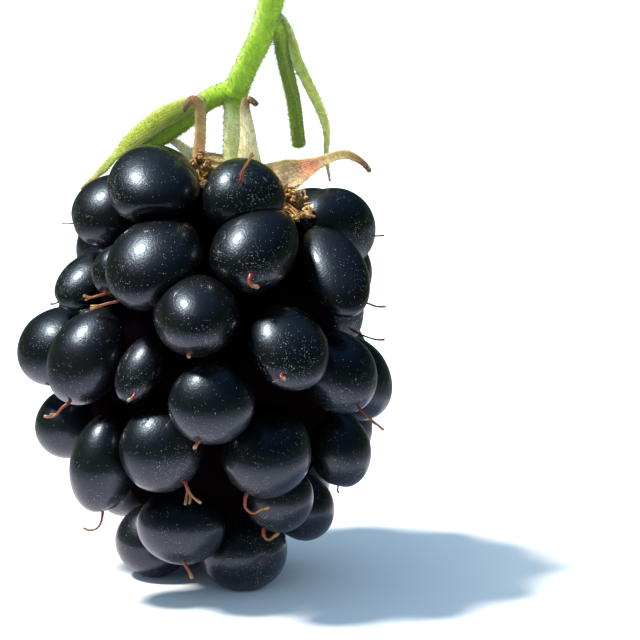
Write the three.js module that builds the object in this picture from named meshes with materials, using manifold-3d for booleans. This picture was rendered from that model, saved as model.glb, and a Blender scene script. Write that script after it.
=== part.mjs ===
// A ripe bramble berry, picked with a piece of its stalk, standing on the drupelets of its tip.
//
// Millimetres, +Z up, origin on the surface below the middle of the whole part. The berry's axis
// is upright at the tip and drifts towards +X at the top, and its front is -Y. A bearing is in
// degrees round that axis, 0 at the front and positive towards +X. A droop is in degrees below
// the horizontal. Everything is laid out round the foot of the axis, and the group is then
// shifted to the origin.

import * as THREE from 'three';
import { mergeVertices } from 'three/addons/utils/BufferGeometryUtils.js';
import Module from 'manifold-3d';

const wasm = await Module();
wasm.setup();

// Driving dimensions of the berry, in millimetres and degrees.
const AXIS_TO_ORIGIN = [0.4, 0]; // from the foot of the axis to the middle of the whole part
const AXIS_DRIFT = 0.0015; // sideways drift of the axis, per millimetre of height squared
const DRUPELET_DETAIL = 2; // how often each face of a drupelet's icosahedron is split
const DRUPELET_ROOT = 0.08; // how much narrower the inner end of a drupelet is
const CLEARANCE = 0.3; // gap between pieces that only touch

// Height of a drupelet's middle, and its reach from the axis: the berry's outline.
const REACH = [[1.9, 3.4], [5, 5.4], [8.8, 7.6], [12.7, 8.5], [16.5, 8.0], [19.6, 6.7], [21.8, 4.6]];
// Height, and how far a drupelet's outer end droops there.
const DROOP = [[1, 78], [4, 66], [8, 58], [12, 52], [16, 46], [20, 34], [22, 5]];
// Height, and radius of the receptacle that the drupelets grow on.
const RECEPTACLE = [
  [1.2, 0], [1.8, 2.4], [4, 4.3], [7, 6.3], [10, 7.5], [14, 7.7], [17, 7.1], [20, 5.6], [21.4, 4.0],
  [22.2, 2.4], [22.5, 0],
];
const RECEPTACLE_SIDES = 12;

// The drupelets of the front and of both flanks, from the tip up. Width is across, length runs
// outwards, and swing turns the length sideways. A style is the dried thread on a drupelet:
// where it leaves the skin, where it points and how long it is.
const SHOWN_DRUPELETS = [
  { bearing: 39.3, height: 2.16, reach: 2.71, width: 5.01, length: 4.74, droop: 52, swing: -14, flat: 0.9 },
  { bearing: -97.7, height: 2.08, reach: 3.42, width: 4.71, length: 4.27, droop: 85, swing: -5, flat: 0.93 },
  { bearing: 180, height: 2.7, reach: 0.5, width: 3.6, length: 3.7, droop: 88 },
  { bearing: 148, height: 1.95, reach: 3.7, width: 4.3, length: 4.3, droop: 66 },
  { bearing: 208, height: 1.95, reach: 3.7, width: 4.2, length: 4.2, droop: 66 },
  { bearing: -20.1, height: 4.2, reach: 4.9, width: 5.01, length: 4.31, droop: 53, swing: 1, flat: 0.9,
    style: { from: [13, 60], to: [40, 51], length: 1 } },
  { bearing: 41, height: 5.79, reach: 5.59, width: 3.94, length: 4.1, droop: 55, swing: -14,
    style: { from: [-53, 60], to: [60, 10], length: 0.8 } },
  { bearing: 88, height: 4.2, reach: 5, width: 3.97, length: 4.1, droop: 62, swing: 1, flat: 0.9 },
  { bearing: -48.7, height: 7.94, reach: 7.93, width: 4.48, length: 5.65, droop: 80, swing: -53, flat: 0.83,
    style: { from: [-10, 81], to: [-75, 45], length: 1.8 } },
  { bearing: -21.5, height: 9.2, reach: 7.52, width: 4.68, length: 4.86, droop: 80, swing: 17, flat: 0.9,
    style: { from: [50, 43], to: [27, 61], length: 1.25 } },
  { bearing: 25, height: 8.91, reach: 7.15, width: 5, length: 5.47, droop: 36, swing: -47, flat: 0.97,
    style: { from: [-56, 59], to: [50, 35], length: 1.7 } },
  { bearing: 68.1, height: 8.18, reach: 7.59, width: 3.77, length: 4.47, droop: 75, swing: 6, flat: 0.9 },
  { bearing: -101.7, height: 8.59, reach: 8.27, width: 4.43, length: 4.42, droop: 39, swing: -2, flat: 0.89 },
  { bearing: -0.2, height: 12.28, reach: 9.27, width: 4.7, length: 4.59, droop: 88, swing: 6, flat: 0.87,
    style: { from: [-30, 54], to: [-42, 51], length: 0.55 } },
  { bearing: -30.7, height: 13.64, reach: 7.77, width: 2.74, length: 4.18, droop: 54, swing: -17, flat: 0.8,
    style: { from: [-14, 41], to: [-49, 16], length: 0.55 } },
  { bearing: -59.1, height: 13.76, reach: 8.09, width: 4.71, length: 5.75, droop: 56, swing: -4, flat: 0.9,
    style: { from: [-38, 54], to: [-71, 25], length: 1.5 } },
  { bearing: -97.7, height: 13.16, reach: 9.05, width: 5.13, length: 4.94, droop: 42, swing: 36, flat: 0.78 },
  { bearing: 26.2, height: 15.11, reach: 9.08, width: 4.46, length: 5.17, droop: 48, swing: 1, flat: 0.72 },
  { bearing: 54.7, height: 13.02, reach: 8.24, width: 4.18, length: 4.95, droop: 50, swing: 1,
    style: { from: [44, 46], to: [65, 42], length: 1.3 } },
  { bearing: 91.7, height: 11.6, reach: 7.6, width: 4.73, length: 5.42, droop: 55, swing: -2, flat: 0.89 },
  { bearing: -7.5, height: 16.84, reach: 7.99, width: 4.72, length: 6.51, droop: 5, swing: 9, flat: 0.93 },
  { bearing: 55.4, height: 18.57, reach: 7.63, width: 3.76, length: 6.32, droop: 40, swing: -32, flat: 0.7,
    style: { from: [81, 48], to: [80, 5], length: 1.4 } },
  { bearing: -55.2, height: 18.53, reach: 6.83, width: 2.62, length: 3.12, droop: 50, swing: 8, flat: 1.01,
    style: { from: [-31, 46], to: [-72, 2], length: 1 } },
  { bearing: -93.2, height: 17.11, reach: 7.38, width: 3.36, length: 4.65, droop: 31, swing: 50, flat: 0.74 },
  { bearing: 86.3, height: 15.87, reach: 6.09, width: 4.59, length: 5.72, droop: 81, swing: -4, flat: 0.88,
    style: { from: [46, 31], to: [85, 0], length: 1 } },
  { bearing: 117, height: 17, reach: 6.8, width: 5, length: 5, droop: 40 },
  { bearing: 17.4, height: 20.12, reach: 6.37, width: 4.62, length: 6.25, droop: 26, swing: -45, flat: 0.91,
    style: { from: [-4, 18], to: [21, 28], length: 0.7 } },
  { bearing: -29.7, height: 19.35, reach: 6.97, width: 5.38, length: 6.29, droop: 33, swing: 2, flat: 0.79,
    style: { from: [-61, 39], to: [-76, 14], length: 1.2 } },
  { bearing: -92, height: 21.11, reach: 6.09, width: 4.72, length: 5.09, droop: 24, swing: 47, flat: 0.82,
    style: { from: [-80, 16], to: [-90, 0], length: 0.5 } },
  { bearing: 88, height: 20.17, reach: 6.22, width: 4.04, length: 5.55, droop: 22, swing: 51, flat: 1.12 },
  { bearing: -51.4, height: 23.09, reach: 4.97, width: 5.1, length: 6.37, droop: 21, swing: 56, flat: 0.76 },
  { bearing: 14.4, height: 22.64, reach: 4.47, width: 4.84, length: 4.48, droop: 61, swing: 23, flat: 0.81,
    style: { from: [-4, -36], to: [73, -67], length: 2 } },
];

// The drupelets of the back: rows that start evenly spaced, and then push each other apart.
const BACK_ROWS = [
  { height: 5.0, first: 130, last: 232, count: 3 },
  { height: 8.8, first: 118, last: 224, count: 4 },
  { height: 12.7, first: 128, last: 232, count: 4 },
  { height: 16.3, first: 140, last: 222, count: 3 },
  { height: 19.2, first: 140, last: 236, count: 3 },
  { height: 21.0, first: 150, last: 225, count: 2 },
];
const BACK_SEED = 7;
const BACK_SCATTER = { bearing: 10, height: 0.8 };
const BACK_SPACING = 5.0; // nearer than this, two drupelets push each other
const BACK_PUSH = 0.2;
const BACK_ROUNDS = 60;
const BACK_WIDTH = [4.6, 5.4];
const BACK_STRETCH = [1.04, 1.26]; // length over width
const BACK_STYLE = [0.2, 1.5];
const SHORTEST_STYLE = 0.7; // a shorter one is only a mark on the skin
const BACK_STYLE_ROOT = { bearing: 20, droop: 15 }; // how far it strays from the drupelet's end
const BACK_STYLE_TURN = { bearing: 40, up: 30, down: 10 }; // and how far it turns from there
const BACK_LAST_BEARING = 233;
const LOW_FIRST_BEARING = 117; // below the shoulder, the back begins here
const HIGH_FIRST_BEARING = 132;
const SHOULDER = 11;
const TOP_OF_BACK = { bearing: 118, height: 18.8, rise: 0.022 }; // the crown slopes down to +X

const STYLE_RADIUS = 0.2;
const STYLE_TIP_RADIUS = 0.16;
const STYLE_SUNK = 0.35;
const STYLE_SIDES = 3;
const STYLE_STEPS = 2;
const STYLE_BEND = 0.3; // the share of its length before it turns
const STYLE_FACE = [0.31, 0.42, 0.85]; // any direction that no style runs along

// The dried disc between stalk and berry, tilted down to +X, with the five sepals on its rim.
// The sepals are listed against the clock seen from above, from the front left.
const DISC = { middle: [1.5, 0.9, 23.2], radius: 2.4, thickness: 0.9, tilt: 18, sides: 20, rings: 8 };
const SEPAL_THICKNESS = [0.8, 0.7, 0.6, 0.6];
const SEPAL_SIDES = 8;
const SEPAL_STEPS = 14;
const SEPALS = [
  { // rolled and upright, with its tip hooked to -X
    path: [[-0.2, 0.1, 23.5], [-0.6, -0.5, 24.3], [-0.56, -0.6, 25.4], [-0.52, -0.6, 26.5],
      [-0.62, -0.6, 27.2], [-0.98, -0.6, 27.5], [-1.32, -0.6, 27.2], [-1.45, -0.6, 26.85]],
    widths: [1.0, 0.8, 0.7, 0.65, 0.6, 0.6],
    side: [1, 0, 0.2],
  },
  { // upright in front of the stalk, with its tip bent to +X
    path: [[2.0, 0.0, 23.1], [2.1, -0.7, 24.0], [2.06, -0.5, 25.3], [1.95, -0.25, 26.4],
      [1.9, -0.1, 27.05], [2.1, -0.1, 27.42], [2.55, -0.1, 27.1]],
    widths: [1.7, 1.2, 0.85, 0.7, 0.6, 0.6],
    side: [1, 0, 0],
  },
  { // the broad one, spread to +X and drooping at its tip
    path: [[3.0, 0.5, 22.6], [3.92, 0.15, 22.8], [4.93, 0.0, 23.3], [6.05, 0.0, 23.83],
      [6.94, -0.05, 24.2], [7.5, -0.05, 24.28], [7.95, -0.1, 24.13], [8.5, -0.15, 23.76], [8.8, -0.2, 23.4]],
    widths: [2.0, 2.1, 1.9, 1.2, 0.7, 0.6, 0.6, 0.6, 0.6],
    side: [0, 0.6, 1],
  },
  { // upright behind the stalk
    path: [[1.5, 2.3, 23.2], [1.6, 3.2, 23.9], [1.55, 3.5, 25.0], [1.7, 3.4, 26.2]],
    widths: [1.9, 1.3, 0.8, 0.6],
    side: [1, 0, 0],
  },
  { // spread low to -X
    path: [[0.2, 1.6, 23.6], [-0.9, 1.9, 23.9], [-2.1, 2.1, 24.7], [-2.9, 2.2, 24.9]],
    widths: [1.9, 1.2, 0.7, 0.6],
    side: [0, 1, 0.3],
  },
];

// The ring of dried stamens under the disc. Where the crown gapes, at the front left and at the
// right, they stick out further.
const STAMEN_RING = { radius: 2.0, thickness: 0.7, below: 0.85, sides: 6, steps: 24 };
const STAMENS = {
  count: 40, scatter: 4, sunk: 0.5, length: [0.5, 1.1], droop: [-0.1, 0.25], width: 0.3, sides: 3, seed: 21,
};
const TUFT_SHARE = [0.6, 1];
const STAMEN_TUFTS = [{ bearing: -62, spread: 22, extra: 0.5 }, { bearing: 72, spread: 26, extra: 1.4 }];

// The stalk: paths and widths of its limbs, which grow into each other.
const STALK_SIDES = 10;
const STALK_STEPS = 12;
const STALK_LIMBS = [
  { // main stalk, from its cut top to the fork
    path: [[4.0, 1.6, 34.6], [3.42, 1.5, 32.9], [2.72, 1.3, 30.6], [2.16, 1.15, 29.5],
      [1.65, 1.0, 28.4], [1.3, 1.0, 27.4]],
    widths: [1.25, 1.25, 1.2, 1.1, 1.15],
  },
  { // down from the fork to the disc
    path: [[1.45, 1.0, 28.0], [1.2, 1.0, 26.8], [1.15, 1.0, 25.2], [1.2, 1.0, 23.9], [1.3, 1.0, 22.8]],
    widths: [1.0, 0.85, 0.85, 0.95, 1.5],
  },
  { // out to -X from the fork, to where the bract leaves
    path: [[1.6, 1.0, 27.9], [0.73, 1.1, 27.6], [-0.11, 1.25, 27.2], [-0.78, 1.4, 26.6],
      [-1.5, 1.5, 25.9], [-2.35, 1.6, 25.25], [-3.25, 1.75, 24.6], [-4.3, 2.0, 23.8]],
    widths: [1.1, 1.05, 1.05, 0.95, 0.85, 0.8, 0.75, 0.7],
  },
  { // cut stub, hanging behind
    path: [[3.3, 1.4, 31.7], [3.75, 1.8, 30.9], [4.03, 2.2, 29.3], [4.54, 2.8, 26.9], [4.87, 3.3, 24.2]],
    widths: [0.8, 0.75, 0.75, 0.7, 0.65],
  },
];

// The two bracts: narrow leaves, each from the foot of a limb of the stalk.
const BRACTS = {
  bract_left: {
    path: [[-0.3, 0.95, 27.1], [-1.0, 0.95, 26.95], [-1.82, 1.0, 26.64], [-2.6, 1.15, 26.25],
      [-3.47, 1.35, 25.68], [-4.9, 1.9, 24.5], [-5.94, 2.5, 23.25], [-6.8, 2.8, 22.4], [-7.4, 3.1, 21.8]],
    widths: [0.7, 1.0, 1.15, 1.15, 1.15, 1.0, 0.8, 0.6, 0.6],
    side: [0.55, 0, 0.8],
  },
  bract_right: {
    path: [[3.2, 1.5, 32.2], [3.95, 1.7, 31.5], [4.4, 1.9, 30.5], [4.76, 2.0, 29.3], [5.3, 2.1, 28.1],
      [5.85, 2.2, 26.95], [6.33, 2.2, 25.7], [6.44, 2.2, 24.9], [6.4, 2.2, 23.9], [6.6, 2.2, 22.4]],
    widths: [0.6, 0.6, 0.65, 0.65, 0.6, 0.6],
    side: [1, 0, 0.4],
  },
};
const BRACT_THICKNESS = 0.6;
const BRACT_STEPS = 16;

const radians = THREE.MathUtils.degToRad;
const point = (xyz) => new THREE.Vector3(...xyz);

function between(table, at) {
  const last = table.length - 1;
  const upper = table.findIndex(([x]) => x >= at);
  if (upper <= 0) return table[upper === 0 ? 0 : last][1];
  const [x0, y0] = table[upper - 1];
  const [x1, y1] = table[upper];
  return y0 + ((y1 - y0) * (at - x0)) / (x1 - x0);
}

// The minimal standard generator, so that every run draws the same numbers.
function makeDraw(seed) {
  let state = seed;
  return (low, high) => {
    state = (state * 16807) % 2147483647;
    return low + ((high - low) * state) / 2147483647;
  };
}

function towards([bearing, droop]) {
  const level = Math.cos(radians(droop));
  return new THREE.Vector3(
    level * Math.sin(radians(bearing)),
    -level * Math.cos(radians(bearing)),
    -Math.sin(radians(droop)),
  );
}

function placeOf({ bearing, height, reach }) {
  const place = towards([bearing, 0]).multiplyScalar(reach);
  return place.add(new THREE.Vector3(AXIS_DRIFT * height * height, 0, height));
}

function growBack(shown) {
  const draw = makeDraw(BACK_SEED);
  const grown = [];
  for (const row of BACK_ROWS) {
    for (let k = 0; k < row.count; k += 1) {
      const even = row.first + ((row.last - row.first) * k) / (row.count - 1);
      const bearing = even + draw(-0.5, 0.5) * BACK_SCATTER.bearing;
      grown.push({ bearing, height: row.height + draw(-0.5, 0.5) * BACK_SCATTER.height });
    }
  }
  const fixed = shown.map(placeOf);
  for (let round = 0; round < BACK_ROUNDS; round += 1) {
    for (const one of grown) one.reach = between(REACH, one.height);
    const places = [...fixed, ...grown.map(placeOf)];
    grown.forEach((one, index) => {
      const own = places[fixed.length + index];
      const push = new THREE.Vector3();
      for (const other of places) {
        const away = own.clone().sub(other);
        const distance = away.length();
        if (distance === 0 || distance >= BACK_SPACING) continue;
        push.addScaledVector(away, (BACK_SPACING - distance) / distance);
      }
      const aside = new THREE.Vector3(Math.cos(radians(one.bearing)), Math.sin(radians(one.bearing)), 0);
      one.bearing += THREE.MathUtils.radToDeg((BACK_PUSH * push.dot(aside)) / one.reach);
      const top = TOP_OF_BACK.height + TOP_OF_BACK.rise * (one.bearing - TOP_OF_BACK.bearing);
      one.height = Math.min(top, one.height + BACK_PUSH * push.z);
      const first = one.height < SHOULDER ? LOW_FIRST_BEARING : HIGH_FIRST_BEARING;
      one.bearing = Math.min(BACK_LAST_BEARING, Math.max(first, one.bearing));
    });
  }
  for (const one of grown) {
    one.reach = between(REACH, one.height);
    one.width = draw(...BACK_WIDTH);
    one.length = one.width * draw(...BACK_STRETCH);
    one.droop = between(DROOP, one.height);
    const from = [
      one.bearing + draw(-1, 1) * BACK_STYLE_ROOT.bearing,
      one.droop + draw(-1, 1) * BACK_STYLE_ROOT.droop,
    ];
    const to = [
      from[0] + draw(-1, 1) * BACK_STYLE_TURN.bearing,
      from[1] + draw(-BACK_STYLE_TURN.up, BACK_STYLE_TURN.down),
    ];
    const length = draw(...BACK_STYLE);
    if (length > SHORTEST_STYLE) one.style = { from, to, length };
  }
  return grown;
}

// Solids: a closed geometry becomes a manifold, and a joined manifold becomes a geometry again.

function solid(geometry) {
  const bare = geometry.clone();
  bare.deleteAttribute('normal');
  bare.deleteAttribute('uv');
  const merged = mergeVertices(bare, 1e-4);
  return new wasm.Manifold(new wasm.Mesh({
    numProp: 3,
    vertProperties: new Float32Array(merged.attributes.position.array),
    triVerts: new Uint32Array(merged.index.array),
  }));
}

function geometryOf(manifold) {
  const mesh = manifold.getMesh();
  const geometry = new THREE.BufferGeometry();
  geometry.setAttribute('position', new THREE.BufferAttribute(mesh.vertProperties, 3));
  geometry.setIndex(new THREE.BufferAttribute(mesh.triVerts, 1));
  return geometry;
}

function joined(pieces) {
  return pieces.reduce((whole, piece) => whole.add(piece));
}

// What stays after a cut is the largest piece, without loose scraps or sealed hollows.
function largest(manifold) {
  return manifold.decompose().sort((a, b) => b.volume() - a.volume())[0];
}

// A closed tube round a smooth curve. Widths run across, along `side`, and thicknesses the other
// way; each is a list spread evenly along the curve.
function limb({ path, widths, thicknesses = widths, side = [0, 1, 0], sides = 8, steps = 10 }, skin = 0) {
  const curve = new THREE.CatmullRomCurve3(path.map(point), false, 'centripetal');
  const spread = (list, t) => between(list.map((value, k) => [k / Math.max(1, list.length - 1), value]), t);
  const positions = [];
  for (let k = 0; k <= steps; k += 1) {
    const t = k / steps;
    const middle = curve.getPointAt(t);
    const along = curve.getTangentAt(t);
    const across = point(side).addScaledVector(along, -point(side).dot(along)).normalize();
    const over = new THREE.Vector3().crossVectors(along, across);
    for (let s = 0; s < sides; s += 1) {
      const angle = (2 * Math.PI * s) / sides;
      positions.push(...middle.clone()
        .addScaledVector(across, Math.cos(angle) * (spread(widths, t) / 2 + skin))
        .addScaledVector(over, Math.sin(angle) * (spread(thicknesses, t) / 2 + skin))
        .toArray());
    }
  }
  const faces = [];
  for (let k = 0; k < steps; k += 1) {
    for (let s = 0; s < sides; s += 1) {
      const a = k * sides + s;
      const b = k * sides + ((s + 1) % sides);
      faces.push(a, b, b + sides, a, b + sides, a + sides);
    }
  }
  const end = steps * sides;
  for (let s = 1; s < sides - 1; s += 1) {
    faces.push(0, s + 1, s);
    faces.push(end, end + s, end + s + 1);
  }
  const geometry = new THREE.BufferGeometry();
  geometry.setAttribute('position', new THREE.Float32BufferAttribute(positions, 3));
  geometry.setIndex(faces);
  return solid(geometry);
}

// The cluster: drupelets on their receptacle, with a dried style on most of them.

function drupelet(one, skin = 0) {
  const geometry = new THREE.IcosahedronGeometry(1, DRUPELET_DETAIL);
  const across = one.width / 2 + skin;
  const upright = (one.width / 2) * (one.flat ?? 1) + skin;
  const along = one.length / 2 + skin;
  const outwards = towards([one.bearing + (one.swing ?? 0), one.droop]);
  const level = new THREE.Vector3(0, 0, 1).cross(outwards).normalize();
  const over = new THREE.Vector3().crossVectors(outwards, level);
  const place = placeOf(one);
  const corners = geometry.attributes.position;
  for (let k = 0; k < corners.count; k += 1) {
    const at = new THREE.Vector3().fromBufferAttribute(corners, k);
    const girth = 1 + DRUPELET_ROOT * Math.min(0, at.z);
    const moved = place.clone()
      .addScaledVector(level, at.x * across * girth)
      .addScaledVector(over, at.y * upright * girth)
      .addScaledVector(outwards, at.z * along);
    corners.setXYZ(k, moved.x, moved.y, moved.z);
  }
  return solid(geometry);
}

function style(one) {
  const from = towards(one.style.from);
  const skin = surfaceReach(one, from);
  const root = placeOf(one).addScaledVector(from, skin - STYLE_SUNK);
  const bend = placeOf(one).addScaledVector(from, skin + one.style.length * STYLE_BEND);
  const tip = bend.clone().addScaledVector(towards(one.style.to), one.style.length * (1 - STYLE_BEND));
  return limb({
    path: [root, bend, tip].map((at) => at.toArray()),
    widths: [2 * STYLE_RADIUS, 2 * STYLE_TIP_RADIUS],
    side: STYLE_FACE,
    sides: STYLE_SIDES,
    steps: STYLE_STEPS,
  });
}

// How far the skin of a drupelet is from its middle, in a given direction.
function surfaceReach(one, direction) {
  const outwards = towards([one.bearing + (one.swing ?? 0), one.droop]);
  const level = new THREE.Vector3(0, 0, 1).cross(outwards).normalize();
  const over = new THREE.Vector3().crossVectors(outwards, level);
  return 1 / Math.hypot(
    direction.dot(level) / (one.width / 2),
    direction.dot(over) / ((one.width / 2) * (one.flat ?? 1)),
    direction.dot(outwards) / (one.length / 2),
  );
}

function receptacle(skin = 0) {
  const outline = RECEPTACLE.map(([height, radius]) => (
    new THREE.Vector2(radius > 0 ? radius + skin : 0, height + (height > SHOULDER ? skin : 0))
  ));
  const geometry = new THREE.LatheGeometry(outline, RECEPTACLE_SIDES);
  geometry.rotateX(Math.PI / 2);
  const corners = geometry.attributes.position;
  for (let k = 0; k < corners.count; k += 1) {
    corners.setX(k, corners.getX(k) + AXIS_DRIFT * corners.getZ(k) ** 2);
  }
  return solid(geometry);
}

const SURFACE_SLAB = { width: 20, depth: 4 };

function belowSurface() {
  const slab = new THREE.BoxGeometry(SURFACE_SLAB.width, SURFACE_SLAB.width, SURFACE_SLAB.depth);
  return solid(slab.translate(0, 0, -SURFACE_SLAB.depth / 2));
}

const drupelets = [...SHOWN_DRUPELETS, ...growBack(SHOWN_DRUPELETS)];

function cluster() {
  const bodies = drupelets.map((one) => drupelet(one));
  const styles = drupelets.filter((one) => one.style).map(style);
  return largest(joined([receptacle(), ...bodies, ...styles]).subtract(belowSurface()));
}

// What the pieces at the crown keep clear of: the berry's own shape, a clearance thicker.
const CROWN = 17;
const clusterSkin = joined([
  receptacle(CLEARANCE),
  ...drupelets.filter((one) => one.height > CROWN).map((one) => drupelet(one, CLEARANCE)),
]);

// The calyx: a lens-shaped disc, with sepals that start inside its rim.

function onDisc(geometry, below = 0) {
  geometry.translate(0, 0, -below);
  geometry.rotateY(radians(DISC.tilt));
  return solid(geometry.translate(...DISC.middle));
}

function disc(skin = 0) {
  const geometry = new THREE.SphereGeometry(1, DISC.sides, DISC.rings);
  geometry.rotateX(Math.PI / 2);
  geometry.scale(DISC.radius + skin, DISC.radius + skin, DISC.thickness / 2 + skin);
  return onDisc(geometry);
}

function calyx(skin = 0) {
  const sepals = SEPALS.map((one) => (
    limb({ ...one, thicknesses: SEPAL_THICKNESS, sides: SEPAL_SIDES, steps: SEPAL_STEPS }, skin)
  ));
  return joined([disc(skin), ...sepals]);
}

// The stamens: a ring, with bent threads that lean outwards and down.

function stamens() {
  const ring = new THREE.TorusGeometry(
    STAMEN_RING.radius,
    STAMEN_RING.thickness / 2,
    STAMEN_RING.sides,
    STAMEN_RING.steps,
  );
  const pieces = [onDisc(ring, STAMEN_RING.below)];
  const draw = makeDraw(STAMENS.seed);
  const tilt = new THREE.Matrix4().makeRotationY(radians(DISC.tilt));
  for (let k = 0; k < STAMENS.count; k += 1) {
    const bearing = (360 * k) / STAMENS.count + draw(-1, 1) * STAMENS.scatter;
    const tuft = STAMEN_TUFTS.find((one) => {
      const away = THREE.MathUtils.euclideanModulo(bearing - one.bearing + 180, 360) - 180;
      return Math.abs(away) < one.spread;
    });
    const length = draw(...STAMENS.length) + (tuft ? tuft.extra * draw(...TUFT_SHARE) : 0);
    const out = towards([bearing, 0]);
    const droop = draw(...STAMENS.droop);
    const along = [-STAMENS.sunk, length / 2, length].map((far, step) => {
      const at = out.clone().multiplyScalar(STAMEN_RING.radius + far);
      at.z = -STAMEN_RING.below - droop * step * far;
      return at.applyMatrix4(tilt).add(point(DISC.middle)).toArray();
    });
    pieces.push(limb({
      path: along,
      widths: [STAMENS.width],
      side: [0, 0, 1],
      sides: STAMENS.sides,
      steps: along.length - 1,
    }));
  }
  return joined(pieces);
}

// The stalk and its bracts.

function stalk(skin = 0) {
  return joined(STALK_LIMBS.map((one) => limb({ ...one, sides: STALK_SIDES, steps: STALK_STEPS }, skin)));
}

function bract(name) {
  return limb({ ...BRACTS[name], thicknesses: [BRACT_THICKNESS], steps: BRACT_STEPS });
}

// Materials and the finished group.

function mesh(name, manifold, color, roughness) {
  const material = new THREE.MeshStandardMaterial({ color, roughness, metalness: 0 });
  const piece = new THREE.Mesh(geometryOf(manifold), material);
  piece.name = name;
  return piece;
}

const cutCalyx = largest(calyx().subtract(clusterSkin));
const cutStamens = largest(stamens().subtract(clusterSkin).subtract(calyx(CLEARANCE)));
const cutStalk = largest(stalk().subtract(calyx(CLEARANCE)));
const stalkSkin = stalk(CLEARANCE);

const berry = new THREE.Group();
berry.add(mesh('drupelets', cluster(), 0x0b0d14, 0.2));
berry.add(mesh('calyx', cutCalyx, 0xb9a878, 0.85));
berry.add(mesh('stamens', cutStamens, 0x8a6230, 0.9));
berry.add(mesh('stalk', cutStalk, 0x8fbf3c, 0.7));
for (const name of Object.keys(BRACTS)) {
  const blade = bract(name).subtract(stalkSkin).subtract(clusterSkin);
  berry.add(mesh(name, largest(blade), 0x9db83a, 0.7));
}
berry.position.set(...AXIS_TO_ORIGIN, 0);

export default berry;
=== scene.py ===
"""The looks of a ripe bramble berry that stands on its tip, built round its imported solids.

Sizes are in millimetres and turned into metres by MM. A bearing is in degrees round the berry's
axis, 0 at the front and positive towards +X, and a droop is in degrees below the horizontal.
"""

import math

import bmesh
import bpy
import numpy as np
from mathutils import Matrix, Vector
from mathutils.kdtree import KDTree


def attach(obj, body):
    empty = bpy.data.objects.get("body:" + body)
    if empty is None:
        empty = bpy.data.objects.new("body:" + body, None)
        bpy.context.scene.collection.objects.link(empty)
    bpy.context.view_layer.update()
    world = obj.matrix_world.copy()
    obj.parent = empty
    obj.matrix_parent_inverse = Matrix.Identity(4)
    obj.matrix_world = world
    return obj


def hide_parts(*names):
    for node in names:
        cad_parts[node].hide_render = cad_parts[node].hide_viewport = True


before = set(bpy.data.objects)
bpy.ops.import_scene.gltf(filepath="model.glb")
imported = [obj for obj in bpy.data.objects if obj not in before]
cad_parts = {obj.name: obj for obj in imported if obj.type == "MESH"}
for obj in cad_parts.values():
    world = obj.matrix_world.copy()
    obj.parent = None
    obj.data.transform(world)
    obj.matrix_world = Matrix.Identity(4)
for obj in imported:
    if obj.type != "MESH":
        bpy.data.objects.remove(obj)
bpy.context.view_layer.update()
bpy.ops.object.select_all(action="DESELECT")

MM = 0.001

# The camera: a long lens, a little above the berry, that looks past its right side, so that the
# shadow on that side is in the picture too.
CAMERA_TARGET = (6.448, 0.0, 14.885)
CAMERA_HEIGHT = 12  # degrees above the horizon
CAMERA_DISTANCE = 230
CAMERA_LENS = 231
CAMERA_SENSOR = 36

bpy.ops.object.camera_add()
camera = bpy.context.object
camera.name = "camera"
camera.data.lens = CAMERA_LENS
camera.data.sensor_width = CAMERA_SENSOR
camera.data.clip_start = 0.01
camera.data.clip_end = 5
camera_back = Vector((0, -math.cos(math.radians(CAMERA_HEIGHT)), math.sin(math.radians(CAMERA_HEIGHT))))
camera.location = (Vector(CAMERA_TARGET) + camera_back * CAMERA_DISTANCE) * MM
camera.rotation_euler = (-camera_back).to_track_quat("-Z", "Y").to_euler()
bpy.context.scene.camera = camera
bpy.context.scene.view_settings.view_transform = "Standard"


# The drupelets: some fifty plump little fruits with a thin, taut, nearly black skin. They grow on
# the receptacle side by side and press each other flat where they meet, with deep gaps between.
AXIS_TO_ORIGIN = np.array([0.4, 0.0, 0.0])  # from the foot of the axis to the middle of the part
AXIS_DRIFT = 0.0015  # sideways drift of the axis, per millimetre of height squared
REACH = [[1.9, 3.4], [5, 5.4], [8.8, 7.6], [12.7, 8.5], [16.5, 8.0], [19.6, 6.7], [21.8, 4.6]]
DROOP = [[1, 78], [4, 66], [8, 58], [12, 52], [16, 46], [20, 34], [22, 5]]

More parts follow.
